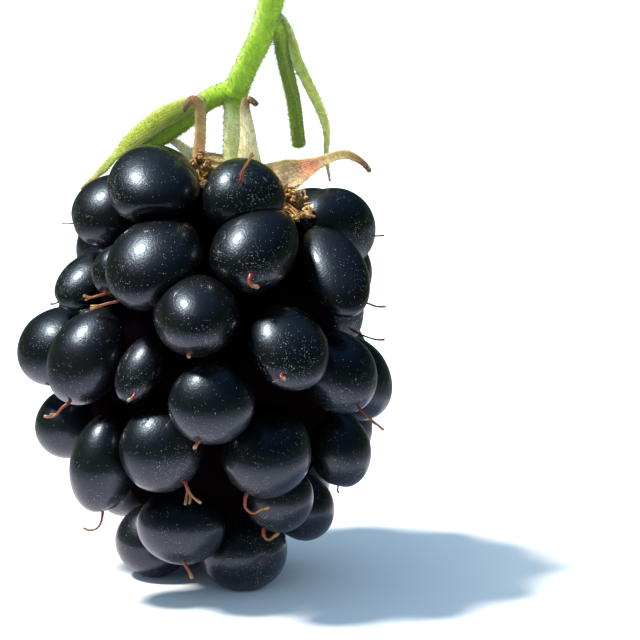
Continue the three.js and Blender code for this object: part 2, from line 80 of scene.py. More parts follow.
# The drupelets of the front and of both flanks, from the tip up. A row has the bearing, height and
# reach of the middle, the width and length, and the droop. Then come a swing to the side, the
# flatness, and the bearing and droop at which the style, or the scar of a lost one, faces.
SHOWN_DRUPELETS = {
    "H2": ((39.3, 2.16, 2.71), (5.01, 4.74), 52, -14, 0.9, (29, 4)),
    "H1": ((-97.7, 2.08, 3.42), (4.71, 4.27), 85, -5, 0.93),
    "tip": ((180, 2.7, 0.5), (3.6, 3.7), 88),
    "back_left": ((148, 1.95, 3.7), (4.3, 4.3), 66),
    "back_right": ((208, 1.95, 3.7), (4.2, 4.2), 66),
    "G1": ((-20.1, 4.2, 4.9), (5.01, 4.31), 53, 1, 0.9, (13, 60)),
    "G2": ((41, 5.79, 5.59), (3.94, 4.1), 55, -14, 1, (-53, 60)),
    "G3": ((88, 4.2, 5), (3.97, 4.1), 62, 1, 0.9),
    "F1": ((-48.7, 7.94, 7.93), (4.48, 5.65), 80, -53, 0.83, (-10, 81)),
    "F2": ((-21.5, 9.2, 7.52), (4.68, 4.86), 80, 17, 0.9, (50, 43)),
    "E1": ((25, 8.91, 7.15), (5, 5.47), 36, -47, 0.97, (-56, 59)),
    "E2": ((68.1, 8.18, 7.59), (3.77, 4.47), 75, 6, 0.9, (-10, 75)),
    "L4": ((-101.7, 8.59, 8.27), (4.43, 4.42), 39, -2, 0.89),
    "D1": ((-0.2, 12.28, 9.27), (4.7, 4.59), 88, 6, 0.87, (-30, 54)),
    "B2": ((-30.7, 13.64, 7.77), (2.74, 4.18), 54, -17, 0.8, (-14, 41)),
    "B1": ((-59.1, 13.76, 8.09), (4.71, 5.75), 56, -4, 0.9, (-38, 54)),
    "L3": ((-97.7, 13.16, 9.05), (5.13, 4.94), 42, 36, 0.78),
    "C2": ((26.2, 15.11, 9.08), (4.46, 5.17), 48, 1, 0.72, (-10, 27)),
    "R3": ((54.7, 13.02, 8.24), (4.18, 4.95), 50, 1, 1, (44, 46)),
    "R4": ((91.7, 11.6, 7.6), (4.73, 5.42), 55, -2, 0.89),
    "C1": ((-7.5, 16.84, 7.99), (4.72, 6.51), 5, 9, 0.93, (-7, 32)),
    "R2": ((55.4, 18.57, 7.63), (3.76, 6.32), 40, -32, 0.7, (81, 48)),
    "A2b": ((-55.2, 18.53, 6.83), (2.62, 3.12), 50, 8, 1.01, (-31, 46)),
    "L2": ((-93.2, 17.11, 7.38), (3.36, 4.65), 31, 50, 0.74, (-64, 31)),
    "R2b": ((86.3, 15.87, 6.09), (4.59, 5.72), 81, -4, 0.88, (46, 31)),
    "side": ((117, 17, 6.8), (5, 5), 40),
    "A1": ((17.4, 20.12, 6.37), (4.62, 6.25), 26, -45, 0.91, (-4, 18)),
    "A2": ((-29.7, 19.35, 6.97), (5.38, 6.29), 33, 2, 0.79, (-61, 39)),
    "L1": ((-92, 21.11, 6.09), (4.72, 5.09), 24, 47, 0.82, (-80, 16)),
    "R1": ((88, 20.17, 6.22), (4.04, 5.55), 22, 51, 1.12, (95, 12)),
    "T1": ((-51.4, 23.09, 4.97), (5.1, 6.37), 21, 56, 0.76, (-63, 4)),
    "T2": ((14.4, 22.64, 4.47), (4.84, 4.48), 61, 23, 0.81, (-4, -36)),
}

# The drupelets of the back: rows that start evenly spaced, and then push each other apart.
BACK_ROWS = [  # height, first and last bearing, count
    (5.0, 130, 232, 3),
    (8.8, 118, 224, 4),
    (12.7, 128, 232, 4),
    (16.3, 140, 222, 3),
    (19.2, 140, 236, 3),
    (21.0, 150, 225, 2),
]
BACK_SEED = 7
BACK_SCATTER = (10, 0.8)  # bearing, height
BACK_SPACING = 5.0  # nearer than this, two drupelets push each other
BACK_PUSH = 0.2
BACK_ROUNDS = 60
BACK_WIDTH = (4.6, 5.4)
BACK_STRETCH = (1.04, 1.26)  # length over width
BACK_STYLE = (0.2, 1.5)  # length, from and to
BACK_STYLE_ROOT = (20, 15)  # how far it strays from the drupelet's end: bearing, droop
BACK_STYLE_TURN = (40, -30, 10)  # and how far it turns from there: bearing, up, down
BACK_LAST_BEARING = 233
LOW_FIRST_BEARING = 117  # below the shoulder, the back begins here
HIGH_FIRST_BEARING = 132
SHOULDER = 11
TOP_OF_BACK = (118, 18.8, 0.022)  # bearing, height and rise: the crown slopes down to +X

DRUPELET_FINENESS = 5  # how often the faces of the starting ball are split
DRUPELET_ROOT = 0.08  # how much narrower the inner end of a drupelet is
PRESS_ROUNDNESS = 10  # higher is a tighter bend where a pressed face begins
PRESS = 0.25  # how far a neighbour presses, from 0 to the plane where the two meet, at 1
DEEPEST_PRESS = 0.4  # share of its radius that a drupelet keeps towards any neighbour
UNEVENNESS = 0.012
UNEVEN_WAVES = 4
WAVE_PACE = 1.6  # how fast they follow each other over the skin
DIMPLE = (0.07, 0.4)  # depth and radius of the dent round a style
SKIN_SEED = 11

SKIN_BLACK = (0.0010, 0.0017, 0.0030)
SKIN_GREEN = (0.0012, 0.0032, 0.0016)
SKIN_PURPLE = (0.0024, 0.0014, 0.0026)
SKIN_SCAR = (0.07, 0.01, 0.007)
SKIN_GLOSS = (0.66, 0.82, 1.0, 1)
SKIN_GRAIN = 0.014  # how deep its fine relief is
SPECKLE = (0.8, 0.78, 0.64)
SPECKLED = (0.4, 3.0)  # from a style, the specks thin out between these distances
SCAR_EDGE = (0.1, 0.34)  # and the scar between these
DUST = (0.065, 0.26)  # spacing, and radius in shares of it
DOTS = (0.14, 0.18)


def towards(bearing, droop):
    """The direction at a bearing round the axis and a droop below the horizontal."""
    level = math.cos(math.radians(droop))
    return np.array([
        level * math.sin(math.radians(bearing)),
        -level * math.cos(math.radians(bearing)),
        -math.sin(math.radians(droop)),
    ])


def place_of(at):
    """The middle of a drupelet at a bearing, height and reach, from the foot of the axis."""
    bearing, height, reach = at
    return towards(bearing, 0) * reach + np.array([AXIS_DRIFT * height**2, 0, height])


def make_draw(seed):
    """The minimal standard generator, so that every run draws the same numbers."""
    state = seed

    def draw(low, high):
        nonlocal state
        state = state * 16807 % 2147483647
        return low + (high - low) * state / 2147483647

    return draw


def between(table, at):
    return float(np.interp(at, [row[0] for row in table], [row[1] for row in table]))


def grow_back():
    """Drupelets for the hidden side, in rows, spaced by pushing each other and the shown ones."""
    draw = make_draw(BACK_SEED)
    grown = []
    for height, first, last, count in BACK_ROWS:
        for k in range(count):
            bearing = first + (last - first) * k / (count - 1) + draw(-0.5, 0.5) * BACK_SCATTER[0]
            grown.append([bearing, height + draw(-0.5, 0.5) * BACK_SCATTER[1]])
    fixed = [place_of(row[0]) for row in SHOWN_DRUPELETS.values()]
    for _ in range(BACK_ROUNDS):
        reaches = [between(REACH, height) for _, height in grown]
        own = [place_of((*one, reach)) for one, reach in zip(grown, reaches)]
        for one, reach, place in zip(grown, reaches, own):
            push = np.zeros(3)
            for other in fixed + own:
                away = place - other
                distance = np.linalg.norm(away)
                if 0 < distance < BACK_SPACING:
                    push += away * (BACK_SPACING - distance) / distance
            aside = np.array([math.cos(math.radians(one[0])), math.sin(math.radians(one[0])), 0])
            one[0] += math.degrees(BACK_PUSH * push @ aside / reach)
            top = TOP_OF_BACK[1] + TOP_OF_BACK[2] * (one[0] - TOP_OF_BACK[0])
            one[1] = min(top, one[1] + BACK_PUSH * push[2])
            first = LOW_FIRST_BEARING if one[1] < SHOULDER else HIGH_FIRST_BEARING
            one[0] = min(BACK_LAST_BEARING, max(first, one[0]))
    back = []
    for bearing, height in grown:
        width = draw(*BACK_WIDTH)
        length = width * draw(*BACK_STRETCH)
        droop = between(DROOP, height)
        root = [bearing + draw(-1, 1) * BACK_STYLE_ROOT[0], droop + draw(-1, 1) * BACK_STYLE_ROOT[1]]
        turned = [root[0] + draw(-1, 1) * BACK_STYLE_TURN[0], root[1] + draw(*BACK_STYLE_TURN[1:])]
        style = (*turned, draw(*BACK_STYLE))
        at = (bearing, height, between(REACH, height))
        back.append(Body(at, (width, length), droop, root=root, style=style))
    return back


class Body:
    """The plain egg shape of one drupelet: its middle, its three axes and their half lengths."""

    def __init__(self, at, size, droop, swing=0, flat=1, root=None, name=None, style=None):
        self.name = name
        self.style = style
        self.middle = place_of(at)
        outwards = towards(at[0] + swing, droop)
        level = np.cross([0, 0, 1], outwards)
        level /= np.linalg.norm(level)
        self.axes = np.array([level, np.cross(outwards, level), outwards])
        width, length = size
        self.halves = np.array([width / 2, width / 2 * flat, length / 2])
        self.root = towards(*(root or (at[0], droop)))
        self.planes = []

    def radius(self, direction):
        return 1 / np.linalg.norm(self.axes @ direction / self.halves)

    def press(self, other):
        """Adds the plane where this drupelet and another one flatten each other."""
        apart = other.middle - self.middle
        distance = np.linalg.norm(apart)
        direction = apart / distance
        own, others = self.radius(direction), other.radius(-direction)
        if distance < own + others:
            share = (distance**2 + own**2 - others**2) / (2 * distance)
            self.planes.append((direction, max(DEEPEST_PRESS * own, own + PRESS * (share - own))))

    def pressed(self, directions, plain):
        """The radius in each direction, once the neighbours have pressed it from `plain`."""
        inverse = plain**-PRESS_ROUNDNESS
        for direction, reach in self.planes:
            facing = np.clip(directions @ direction, 0, None) / reach
            inverse = inverse + facing**PRESS_ROUNDNESS
        return inverse ** (-1 / PRESS_ROUNDNESS)

    def skin_point(self):
        """Where the style stands on the finished skin."""
        direction = self.root[None]
        return self.middle + self.root * self.pressed(direction, np.array([self.radius(self.root)]))[0]


def coordinates(mesh):
    points = np.empty(len(mesh.vertices) * 3)
    mesh.vertices.foreach_get("co", points)
    return points.reshape(-1, 3)


def write_points(mesh, points):
    mesh.vertices.foreach_set("co", np.asarray(points, np.float32).ravel())
    mesh.update()


def write_values(mesh, name, values):
    layer = mesh.attributes.new(name, "FLOAT", "POINT")
    layer.data.foreach_set("value", np.broadcast_to(values, len(mesh.vertices)).astype(np.float32))


def metres(points):
    """From millimetres round the foot of the axis to metres in the part's frame."""
    return (np.asarray(points) + AXIS_TO_ORIGIN) * MM


def select(pieces):
    bpy.ops.object.select_all(action="DESELECT")
    for piece in pieces:
        piece.select_set(True)
    bpy.context.view_layer.objects.active = pieces[0]


def unit_sphere(segments, rings):
    """A sphere with its faces in a steady order, since Blender's own order changes from run to run."""
    bpy.ops.mesh.primitive_uv_sphere_add(segments=segments, ring_count=rings, radius=1)
    sphere = bpy.context.object
    shape = bmesh.new()
    shape.from_mesh(sphere.data)
    count = len(shape.verts)
    shape.faces.sort(key=lambda face: face.verts[0].index * count + face.verts[1].index)
    shape.to_mesh(sphere.data)
    shape.free()
    return sphere


def joined(name, pieces):
    select(pieces)
    bpy.ops.object.join()
    whole = bpy.context.object
    whole.name = name
    whole.data.name = name
    bpy.ops.object.select_all(action="DESELECT")
    return whole


class Shade:
    """A socket in a node tree. Arithmetic on it adds Math nodes, and node() adds any other node."""

    def __init__(self, tree, socket=None):
        self.tree = tree
        self.socket = socket

    def node(self, kind, settings, inputs, output=0):
        made = self.tree.nodes.new("ShaderNode" + kind)
        for name, value in settings.items():
            if name == "stops":
                elements = made.color_ramp.elements
                elements.remove(elements[1])
                elements[0].position, elements[0].color = value[0][0], (*value[0][1], 1)
                for at, colour in value[1:]:
                    elements.new(at).color = (*colour, 1)
            else:
                setattr(made, name, value)
        for name, value in inputs.items():
            if isinstance(value, Shade):
                self.tree.links.new(value.socket, made.inputs[name])
            else:
                made.inputs[name].default_value = value
        return Shade(self.tree, made.outputs[output])

    def other(self, output):
        """Another output of the same node."""
        return Shade(self.tree, self.socket.node.outputs[output])

    def math(self, operation, *others):
        return self.node("Math", {"operation": operation}, dict(enumerate((self, *others))))

    def __add__(self, other):
        return self.math("ADD", other)

    def __mul__(self, other):
        return self.math("MULTIPLY", other)

    def __sub__(self, other):
        return self.math("SUBTRACT", other)

    def __rsub__(self, other):
        return self * -1 + other

    __radd__ = __add__
    __rmul__ = __mul__

    def rise(self, low, high):
        """Goes smoothly from 0 at low to 1 at high."""
        return self.node("MapRange", {"interpolation_type": "SMOOTHSTEP"}, {0: self, 1: low, 2: high})

    def mix(self, first, second):
        """From the first colour, where this is 0, to the second, where it is 1."""
        ends = [(*end, 1) if isinstance(end, tuple) else end for end in (first, second)]
        return self.node("Mix", {"data_type": "RGBA"}, {0: self, 6: ends[0], 7: ends[1]}, 2)

    def attribute(self, name, output="Fac"):
        return self.node("Attribute", {"attribute_name": name}, {}, output)

    def darkened(self, by):
        """This colour times another one."""
        settings = {"data_type": "RGBA", "blend_type": "MULTIPLY"}
        return self.node("Mix", settings, {0: 1.0, 6: self, 7: (*by, 1)}, 2)

    def bump(self, depth):
        """A normal for this height, on which 1 stands for a depth in millimetres."""
        return self.node("Bump", {}, {"Distance": depth * MM, "Height": self})

    def noise(self, place, size, detail=2.0):
        """Noise with lumps of a size in millimetres."""
        return self.node("TexNoise", {}, {"Vector": place, "Scale": 1 / (size * MM), "Detail": detail})

    def cells(self, place, size):
        """The distance to the nearest of scattered points, in shares of their spacing."""
        return self.node("TexVoronoi", {}, {"Vector": place, "Scale": 1 / (size * MM)}, "Distance")

    def channel(self, index):
        return self.node("SeparateColor", {}, {0: self}, index)


def new_material(name):
    """A material without a shader, its node tree, and the place on the piece in metres."""
    material = bpy.data.materials.new(name)
    material.use_nodes = True
    material.node_tree.nodes.remove(material.node_tree.nodes["Principled BSDF"])
    shade = Shade(material.node_tree)
    return material, shade, shade.node("TexCoord", {}, {}, "Object")


def surface(material, inputs):
    """Ends a material with its one shader."""
    tree = material.node_tree
    shader = Shade(tree).node("BsdfPrincipled", {}, inputs)
    tree.links.new(shader.socket, tree.nodes["Material Output"].inputs["Surface"])
    return material


def specks(shade, place, spacing, radius, chance):
    """Pale dots of one size, each where its own draw falls under the chance, some fainter."""
    cells = shade.cells(place, spacing)
    colour = cells.other("Color")
    drawn = (chance - colour.channel(0)).math("GREATER_THAN", 0.0)
    faint = colour.channel(2) * 0.8 + 0.2
    return (1 - cells.rise(radius * 0.6, radius)) * drawn * faint


def skin_material():
    material, shade, place = new_material("bramble_skin")
    from_style = shade.attribute("style_distance")
    own = shade.attribute("own")
    near = 1 - from_style.rise(*SPECKLED)
    patches = shade.noise(place, 1.4)
    crowded = near * 0.35 + patches.rise(0.42, 0.62) * near * 0.5 + patches.rise(0.48, 0.68) * 0.25

    dust = specks(shade, place, *DUST, crowded * 0.6 + 0.03)
    dots = specks(shade, place, *DOTS, crowded * 0.45 + 0.02)
    wander = (shade.noise(place, 0.9, 1.0) - 0.5).math("ABSOLUTE")
    scratched = shade.noise(place, 0.8, 0.0).rise(0.66, 0.72)
    scratches = (1 - wander.rise(0.002, 0.007)) * scratched * near
    pale = (dust + dots + scratches * 0.4).math("MINIMUM", 1.0)

    blotches = shade.noise(place, 2.6, 3.0)
    colour = blotches.rise(0.45, 0.65).mix(SKIN_BLACK, SKIN_GREEN)
    colour = (own.rise(0.5, 1.0) * 0.6).mix(colour, SKIN_PURPLE)
    colour = ((1 - from_style.rise(*SCAR_EDGE)) * 0.8).mix(colour, SKIN_SCAR)
    colour = (pale * 0.9).mix(colour, SPECKLE)

    grain = shade.noise(place, 0.1)
    pores = shade.noise(place, 0.34)
    return surface(material, {
        "Base Color": colour,
        "Roughness": blotches * 0.14 + grain * 0.1 + 0.25 + pale * 0.2,
        "IOR": 1.56,
        "Normal": (grain + pores * 0.9 + pale * 1.5).bump(SKIN_GRAIN),
        "Specular Tint": SKIN_GLOSS,
        "Coat Weight": 0.6 - pale * 0.5,
        "Coat Roughness": 0.12,
        "Coat IOR": 1.4,
    })


bodies = [Body(*row, name=name) for name, row in SHOWN_DRUPELETS.items()] + grow_back()
for body in bodies:
    for other in bodies:
        if other is not body:
            body.press(other)

bpy.ops.mesh.primitive_ico_sphere_add(subdivisions=DRUPELET_FINENESS, radius=1)
ball = bpy.context.object
ball_points = coordinates(ball.data)
skin_numbers = np.random.RandomState(SKIN_SEED)


def grow_drupelet(body):
    """A copy of the ball, given the body's egg shape, pressed by its neighbours and roughened."""
    girth = 1 + DRUPELET_ROOT * np.minimum(0, ball_points[:, 2:])
    shares = ball_points * np.hstack([girth, girth, np.ones_like(girth)])
    plain = (shares * body.halves) @ body.axes
    lengths = np.linalg.norm(plain, axis=1)
    directions = plain / lengths[:, None]
    waves = skin_numbers.normal(0, WAVE_PACE, (UNEVEN_WAVES, 3))
    phases = skin_numbers.uniform(0, 2 * math.pi, UNEVEN_WAVES)
    uneven = np.sin(directions @ waves.T + phases).mean(axis=1)
    lengths = body.pressed(directions, lengths * (1 + UNEVENNESS * uneven))
    points = body.middle + directions * lengths[:, None]
    from_style = np.linalg.norm(points - body.skin_point(), axis=1)
    depth, radius = DIMPLE
    points -= directions * (depth * np.exp(-((from_style / radius) ** 2)))[:, None]
    points[:, 2] = np.maximum(0, points[:, 2])
    drupelet = ball.copy()
    drupelet.data = ball.data.copy()
    bpy.context.collection.objects.link(drupelet)
    write_points(drupelet.data, metres(points))
    write_values(drupelet.data, "style_distance", from_style)
    write_values(drupelet.data, "own", skin_numbers.uniform())
    return drupelet


# Height and radius of the receptacle, the core that the drupelets grow on. Its nearly black, matte colour is
# juice stain and painted shade.
RECEPTACLE = [
    (1.2, 0), (1.8, 2.4), (4, 4.3), (7, 6.3), (10, 7.5), (14, 7.7), (17, 7.1), (20, 5.6), (21.4, 4.0),
    (22.2, 2.4), (22.5, 0),
]
RECEPTACLE_LUMP = 0.12
RECEPTACLE_DEPTH = 0.5  # how far the soft core has drawn back between the drupelets
# Nearly black: the juice stain, and painted shade in the gaps between the drupelets.
RECEPTACLE_STAIN_AND_SHADE = (0.001, 0.0005, 0.0007)
RECEPTACLE_PITH_AND_SHADE = (0.003, 0.001, 0.002)


def grow_receptacle():
    core = unit_sphere(64, 48)
    points = coordinates(core.data)
    share = np.arccos(np.clip(-points[:, 2], -1, 1)) / math.pi
    heights = RECEPTACLE[0][0] + share * (RECEPTACLE[-1][0] - RECEPTACLE[0][0])
    radii = np.interp(heights, *zip(*RECEPTACLE))
    around = np.arctan2(points[:, 1], points[:, 0])
    radii -= (RECEPTACLE_DEPTH + RECEPTACLE_LUMP * np.sin(around * 9 + heights * 2.1)) * (radii > 0)
    lie = np.stack([np.cos(around) * radii + AXIS_DRIFT * heights**2, np.sin(around) * radii, heights], 1)
    write_points(core.data, metres(lie))
    core.name = "receptacle"
    core.data.shade_smooth()
    return core


def receptacle_material():
    material, shade, place = new_material("stained_and_shaded_receptacle")
    # Matte and nearly black: painted shade in the gaps between the drupelets, over the juice stain.
    return surface(material, {
        "Base Color": shade.noise(place, 0.6, 3.0).mix(RECEPTACLE_STAIN_AND_SHADE, RECEPTACLE_PITH_AND_SHADE),
        "Roughness": 0.9,
        "Specular IOR Level": 0.0,
    })


receptacle = grow_receptacle()
receptacle.data.materials.append(receptacle_material())
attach(receptacle, "root")
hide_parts("drupelets")

grown = [grow_drupelet(body) for body in bodies]
bpy.data.objects.remove(ball)
front_count = len(SHOWN_DRUPELETS)
skin = skin_material()
for name, members in (("drupelets_front", grown[:front_count]), ("drupelets_back", grown[front_count:])):
    drupelets = joined(name, members)
    drupelets.data.materials.append(skin)
    drupelets.data.shade_smooth()
    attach(drupelets, "root")
    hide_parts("drupelets")


# The styles: the dried thread that most drupelets keep from their flower, red at the root and tan
# towards the end. Some have curled up, some have split in two, and some are broken to a stub.
PATH_FINENESS = 40  # points between two corners, before they are spaced evenly
CAP_ROWS = 3  # rows of faces in the rounded end of a limb
LEAST_ROLL = 0.1  # degrees: a limb's formula divides by its roll
STYLE_SIDES = 8
STYLE_STEPS = 12
STYLE_SUNK = 0.3
STYLE_WIDTH = (0.20, 0.15, 0.12, 0.12, 0.15)
STYLE_KINK = 0.035
STYLE_RED = [(0, (0.1, 0.008, 0.01)), (0.35, (0.24, 0.028, 0.03)), (0.7, (0.24, 0.06, 0.032)),
             (1, (0.34, 0.18, 0.1))]
STYLE_TAN = [(0, (0.14, 0.014, 0.01)), (0.3, (0.26, 0.056, 0.016)), (0.7, (0.3, 0.105, 0.018)),
             (1, (0.38, 0.2, 0.06))]
STYLE_DARK = (0.012, 0.007, 0.006)
STYLE_GRAIN = 0.02
STYLE_GLOW = (0.3 * MM, 0.1 * MM, 0.05 * MM)  # how far red, green and blue light spread inside

# The threads of the styles: the drupelet, a width, a tone from red, at 0, to tan, at 1, how much
# of the thread has withered, and where it bends, to the right, up, and off the skin.
STYLES = [
    ("L1", 0.6, 0.5, 0.8, [(-0.2, 0.02, 0.05), (-0.48, 0.0, 0.05)]),
    ("R1", 0.8, 0.5, 0.6, [(0.12, 0.03, 0.1), (0.3, 0.06, 0.15)]),
    ("T2", 1.15, 0.9, 0.0, [(0.15, 0.4, 0.25), (0.42, 0.9, 0.42), (0.6, 1.38, 0.5)]),
    ("T2", 0.8, 1.0, 0.0, [(0.18, 0.4, 0.3), (0.48, 0.9, 0.48), (0.78, 1.22, 0.45)]),
    ("A1", 1.6, 0.35, 0.0, [(-0.1, -0.15, 0.2), (0.02, -0.4, 0.28), (0.34, -0.56, 0.18)]),
    ("A2", 1.1, 0.6, 0.0, [(-0.4, 0.0, 0.1), (-0.85, -0.22, 0.12), (-1.35, -0.42, 0.1)]),
    ("A2", 0.8, 0.9, 0.0, [(-0.4, 0.0, 0.1), (-0.85, -0.1, 0.16), (-1.25, -0.12, 0.2)]),
    ("A2b", 1.1, 1.0, 0.0, [(-0.35, 0.02, 0.2), (-0.75, 0.02, 0.3), (-1.1, 0.08, 0.3)]),
    ("A2b", 0.8, 0.9, 0.0, [(-0.35, 0.0, 0.2), (-0.7, -0.04, 0.3), (-1.0, -0.08, 0.35)]),
    ("R2", 1.0, 0.15, 0.0, [(0.35, -0.02, 0.2), (0.7, -0.14, 0.3), (1.1, -0.08, 0.3)]),
    ("R2b", 0.8, 0.5, 0.8, [(0.5, -0.15, 0.25), (1.05, -0.22, 0.4), (1.45, -0.28, 0.45)]),
    ("L2", 0.8, 0.5, 0.7, [(-0.1, 0.0, 0.1), (-0.24, 0.03, 0.15)]),
    ("C1", 1.5, 0.1, 0.0, [(-0.02, -0.02, 0.08), (-0.03, -0.06, 0.13)]),
    ("C2", 1.4, 0.1, 0.0, [(0.06, -0.04, 0.08), (0.1, -0.08, 0.16)]),
    ("C2", 0.5, 0.5, 0.9, [(-0.14, -0.14, 0.1), (-0.4, -0.32, 0.05)]),
    ("B1", 1.25, 0.55, 0.0, [(-0.3, -0.14, 0.25), (-0.62, -0.44, 0.35), (-0.95, -0.54, 0.35),
                             (-1.18, -0.58, 0.3)]),
    ("B1", 0.8, 0.9, 0.0, [(-0.3, -0.14, 0.25), (-0.58, -0.38, 0.35), (-0.88, -0.34, 0.4)]),
    ("B2", 1.4, 0.2, 0.0, [(-0.12, -0.04, 0.15), (-0.3, -0.12, 0.18)]),
    ("R3", 1.0, 0.1, 0.2, [(0.35, -0.2, 0.2), (0.75, -0.6, 0.25), (1.2, -1.0, 0.3)]),
    ("R3", 0.7, 0.5, 0.4, [(0.3, -0.3, 0.1), (0.6, -0.75, 0.1), (0.85, -0.85, 0.1)]),
    ("D1", 1.5, 0.0, 0.0, [(-0.08, -0.1, 0.12), (-0.2, -0.2, 0.18)]),
    ("E1", 1.35, 0.55, 0.0, [(0.04, -0.2, 0.25), (0.15, -0.42, 0.35), (0.5, -0.6, 0.38),
                             (0.9, -0.55, 0.32), (1.2, -0.48, 0.2)]),
    ("E2", 0.8, 0.5, 0.8, [(0.03, -0.1, 0.1), (0.05, -0.24, 0.1)]),
    ("F1", 1.0, 0.25, 0.1, [(-0.05, -0.4, 0.1), (-0.35, -0.75, 0.15), (-0.75, -0.85, 0.15),
                            (-1.05, -0.78, 0.1)]),
    ("F2", 1.2, 0.7, 0.35, [(0.0, -0.24, 0.25), (-0.1, -0.6, 0.3), (-0.2, -0.95, 0.3)]),
    ("F2", 1.2, 0.7, 0.45, [(0.02, -0.24, 0.25), (0.06, -0.6, 0.33), (0.06, -0.95, 0.33)]),
    ("F2", 1.2, 1.0, 0.0, [(0.05, -0.24, 0.25), (0.26, -0.56, 0.35), (0.56, -0.88, 0.35)]),
    ("G2", 1.5, 0.8, 0.0, [(0.12, -0.14, 0.2), (0.38, -0.26, 0.3), (0.68, -0.26, 0.25),
                           (0.88, -0.1, 0.12)]),
    ("G1", 1.5, 0.15, 0.0, [(0.1, -0.15, 0.2), (0.26, -0.32, 0.28), (0.36, -0.5, 0.28)]),
]
BACK_CURL = 0.35  # share of its length that a style of the back grows straight out
BACK_KINK = 0.1
BACK_STYLE_LOOKS = [(0.7, 1.2), (0, 1), (0, 0.5)]  # width, tone and how withered, from and to
STYLE_SEED = 5


def smooth_path(corners, steps):
    """Evenly spaced points, and their directions, on a centripetal curve through the corners."""
    corners = np.asarray(corners, float)
    knots = np.vstack([2 * corners[0] - corners[1], corners, 2 * corners[-1] - corners[-2]])
    share = np.linspace(0, 1, PATH_FINENESS + 1)[:-1, None]
    fine = []
    for k in range(len(corners) - 1):
        before, start, end, after = knots[k:k + 4]
        g0, g1, g2 = (np.linalg.norm(b - a) ** 0.5 for a, b in ((before, start), (start, end), (end, after)))
        out = g1 * ((start - before) / g0 - (end - before) / (g0 + g1) + (end - start) / g1)
        into = g1 * ((end - start) / g1 - (after - start) / (g1 + g2) + (after - end) / g2)
        fine.append(start + share * out + share**2 * (3 * (end - start) - 2 * out - into)
                    + share**3 * (2 * (start - end) + out + into))
    fine = np.vstack([*fine, corners[-1:]])
    run = np.concatenate([[0], np.cumsum(np.linalg.norm(np.diff(fine, axis=0), axis=1))])
    even = np.linspace(0, run[-1], steps + 1)
    points = np.stack([np.interp(even, run, fine[:, axis]) for axis in range(3)], 1)
    along = np.gradient(points, axis=0)
    return points, along / np.linalg.norm(along, axis=1)[:, None]


def spread(values, share):
    """Values listed evenly along a limb, read off at each share of its length."""
    return np.interp(share, np.linspace(0, 1, len(values)), values)


def limb(path, widths, thicknesses=None, side=None, rolls=(0,), sides=8, steps=12, dome=1.0):
    """A grid rolled up round a smooth path, as a tube or as a blade whose margins roll inwards.

    Widths run across, along `side`, and thicknesses the other way. A dome of 0 cuts the ends flat.
    """
    bpy.ops.mesh.primitive_grid_add(x_subdivisions=sides, y_subdivisions=steps + 2 * CAP_ROWS, size=1)
    made = bpy.context.object
    flat = coordinates(made.data)
    angles = 2 * math.pi * (flat[:, 0] + 0.5)
    rows = np.rint((flat[:, 1] + 0.5) * (steps + 2 * CAP_ROWS)).astype(int)

    points, along = smooth_path(path, steps)
    if side is None:
        across = [np.cross(along[0], (0.3, 0.5, 0.8))]
        for ahead in along[1:]:
            across.append(across[-1] - ahead * (across[-1] @ ahead))
        across = np.array(across)
    else:
        across = side - along * (along @ np.array(side, float))[:, None]
    across /= np.linalg.norm(across, axis=1)[:, None]
    over = np.cross(along, across)

    step = np.clip(np.arange(steps + 1 + 2 * CAP_ROWS) - CAP_ROWS, 0, steps)
    beyond = np.arange(steps + 1 + 2 * CAP_ROWS) - CAP_ROWS - step
    share = step / steps
    width = spread(widths, share)
    thickness = width if thicknesses is None else spread(thicknesses, share)
    close = np.cos(beyond / CAP_ROWS * math.pi / 2)
    push = np.sin(beyond / CAP_ROWS * math.pi / 2) * thickness / 2 * dome
    roll = np.radians(np.maximum(spread(rolls, share), LEAST_ROLL))

    turned = np.cos(angles) * roll[rows] / 2
    reach = (width * close / roll)[rows]
    height = np.sin(angles) * (thickness * close)[rows] / 2
    aside = reach * np.sin(turned) - height * np.sin(turned)
    lift = reach * (np.cos(roll[rows] / 4) - np.cos(turned)) + height * np.cos(turned)
    place = (points[step] + along[step] * push[:, None])[rows]
    place = place + across[step][rows] * aside[:, None] + over[step][rows] * lift[:, None]
    write_points(made.data, metres(place))
    write_values(made.data, "along", share[rows])
    write_values(made.data, "across", np.cos(angles))
    return made


def weld(piece):
    """Closes the seams and the ends of the limbs in a piece."""
    select([piece])
    bpy.ops.object.mode_set(mode="EDIT")
    bpy.ops.mesh.select_all(action="SELECT")
    bpy.ops.mesh.remove_doubles(threshold=2e-7)
    bpy.ops.object.mode_set(mode="OBJECT")
    piece.data.shade_smooth()
    bpy.ops.object.select_all(action="DESELECT")
    return piece


def grow_style(body, width, tone, dark, bends):
    """A style from the body's root, through bends given to the right, up and off the skin."""
    root = body.skin_point()
    path = [root - body.root * STYLE_SUNK, root]
    path += [root + (right, 0, up) + body.root * off for right, up, off in bends]
    path = np.array(path)
    path[2:] += style_numbers.normal(0, STYLE_KINK, path[2:].shape)
    style = limb(path, [one * width for one in STYLE_WIDTH], sides=STYLE_SIDES, steps=STYLE_STEPS)
    write_values(style.data, "tone", tone)
    write_values(style.data, "dark", dark)
    return style


def style_material():
    material, shade, place = new_material("dried_style")
    along = shade.attribute("along")
    red = shade.node("ValToRGB", {"stops": STYLE_RED}, {0: along})
    tan = shade.node("ValToRGB", {"stops": STYLE_TAN}, {0: along})
    mottle = shade.noise(place, 0.1, 3.0)
    colour = (shade.attribute("tone") + mottle * 0.5 - 0.25).rise(0.0, 1.0).mix(red, tan)
    withered = shade.attribute("dark") + mottle.rise(0.5, 0.72) * 0.75
    return surface(material, {
        "Base Color": withered.math("MINIMUM", 1.0).mix(colour, STYLE_DARK),
        "Roughness": 0.3,
        "Normal": mottle.bump(STYLE_GRAIN),
        "Subsurface Weight": 0.2,
        "Subsurface Radius": STYLE_GLOW,
        "Subsurface Scale": 1.0,
    })


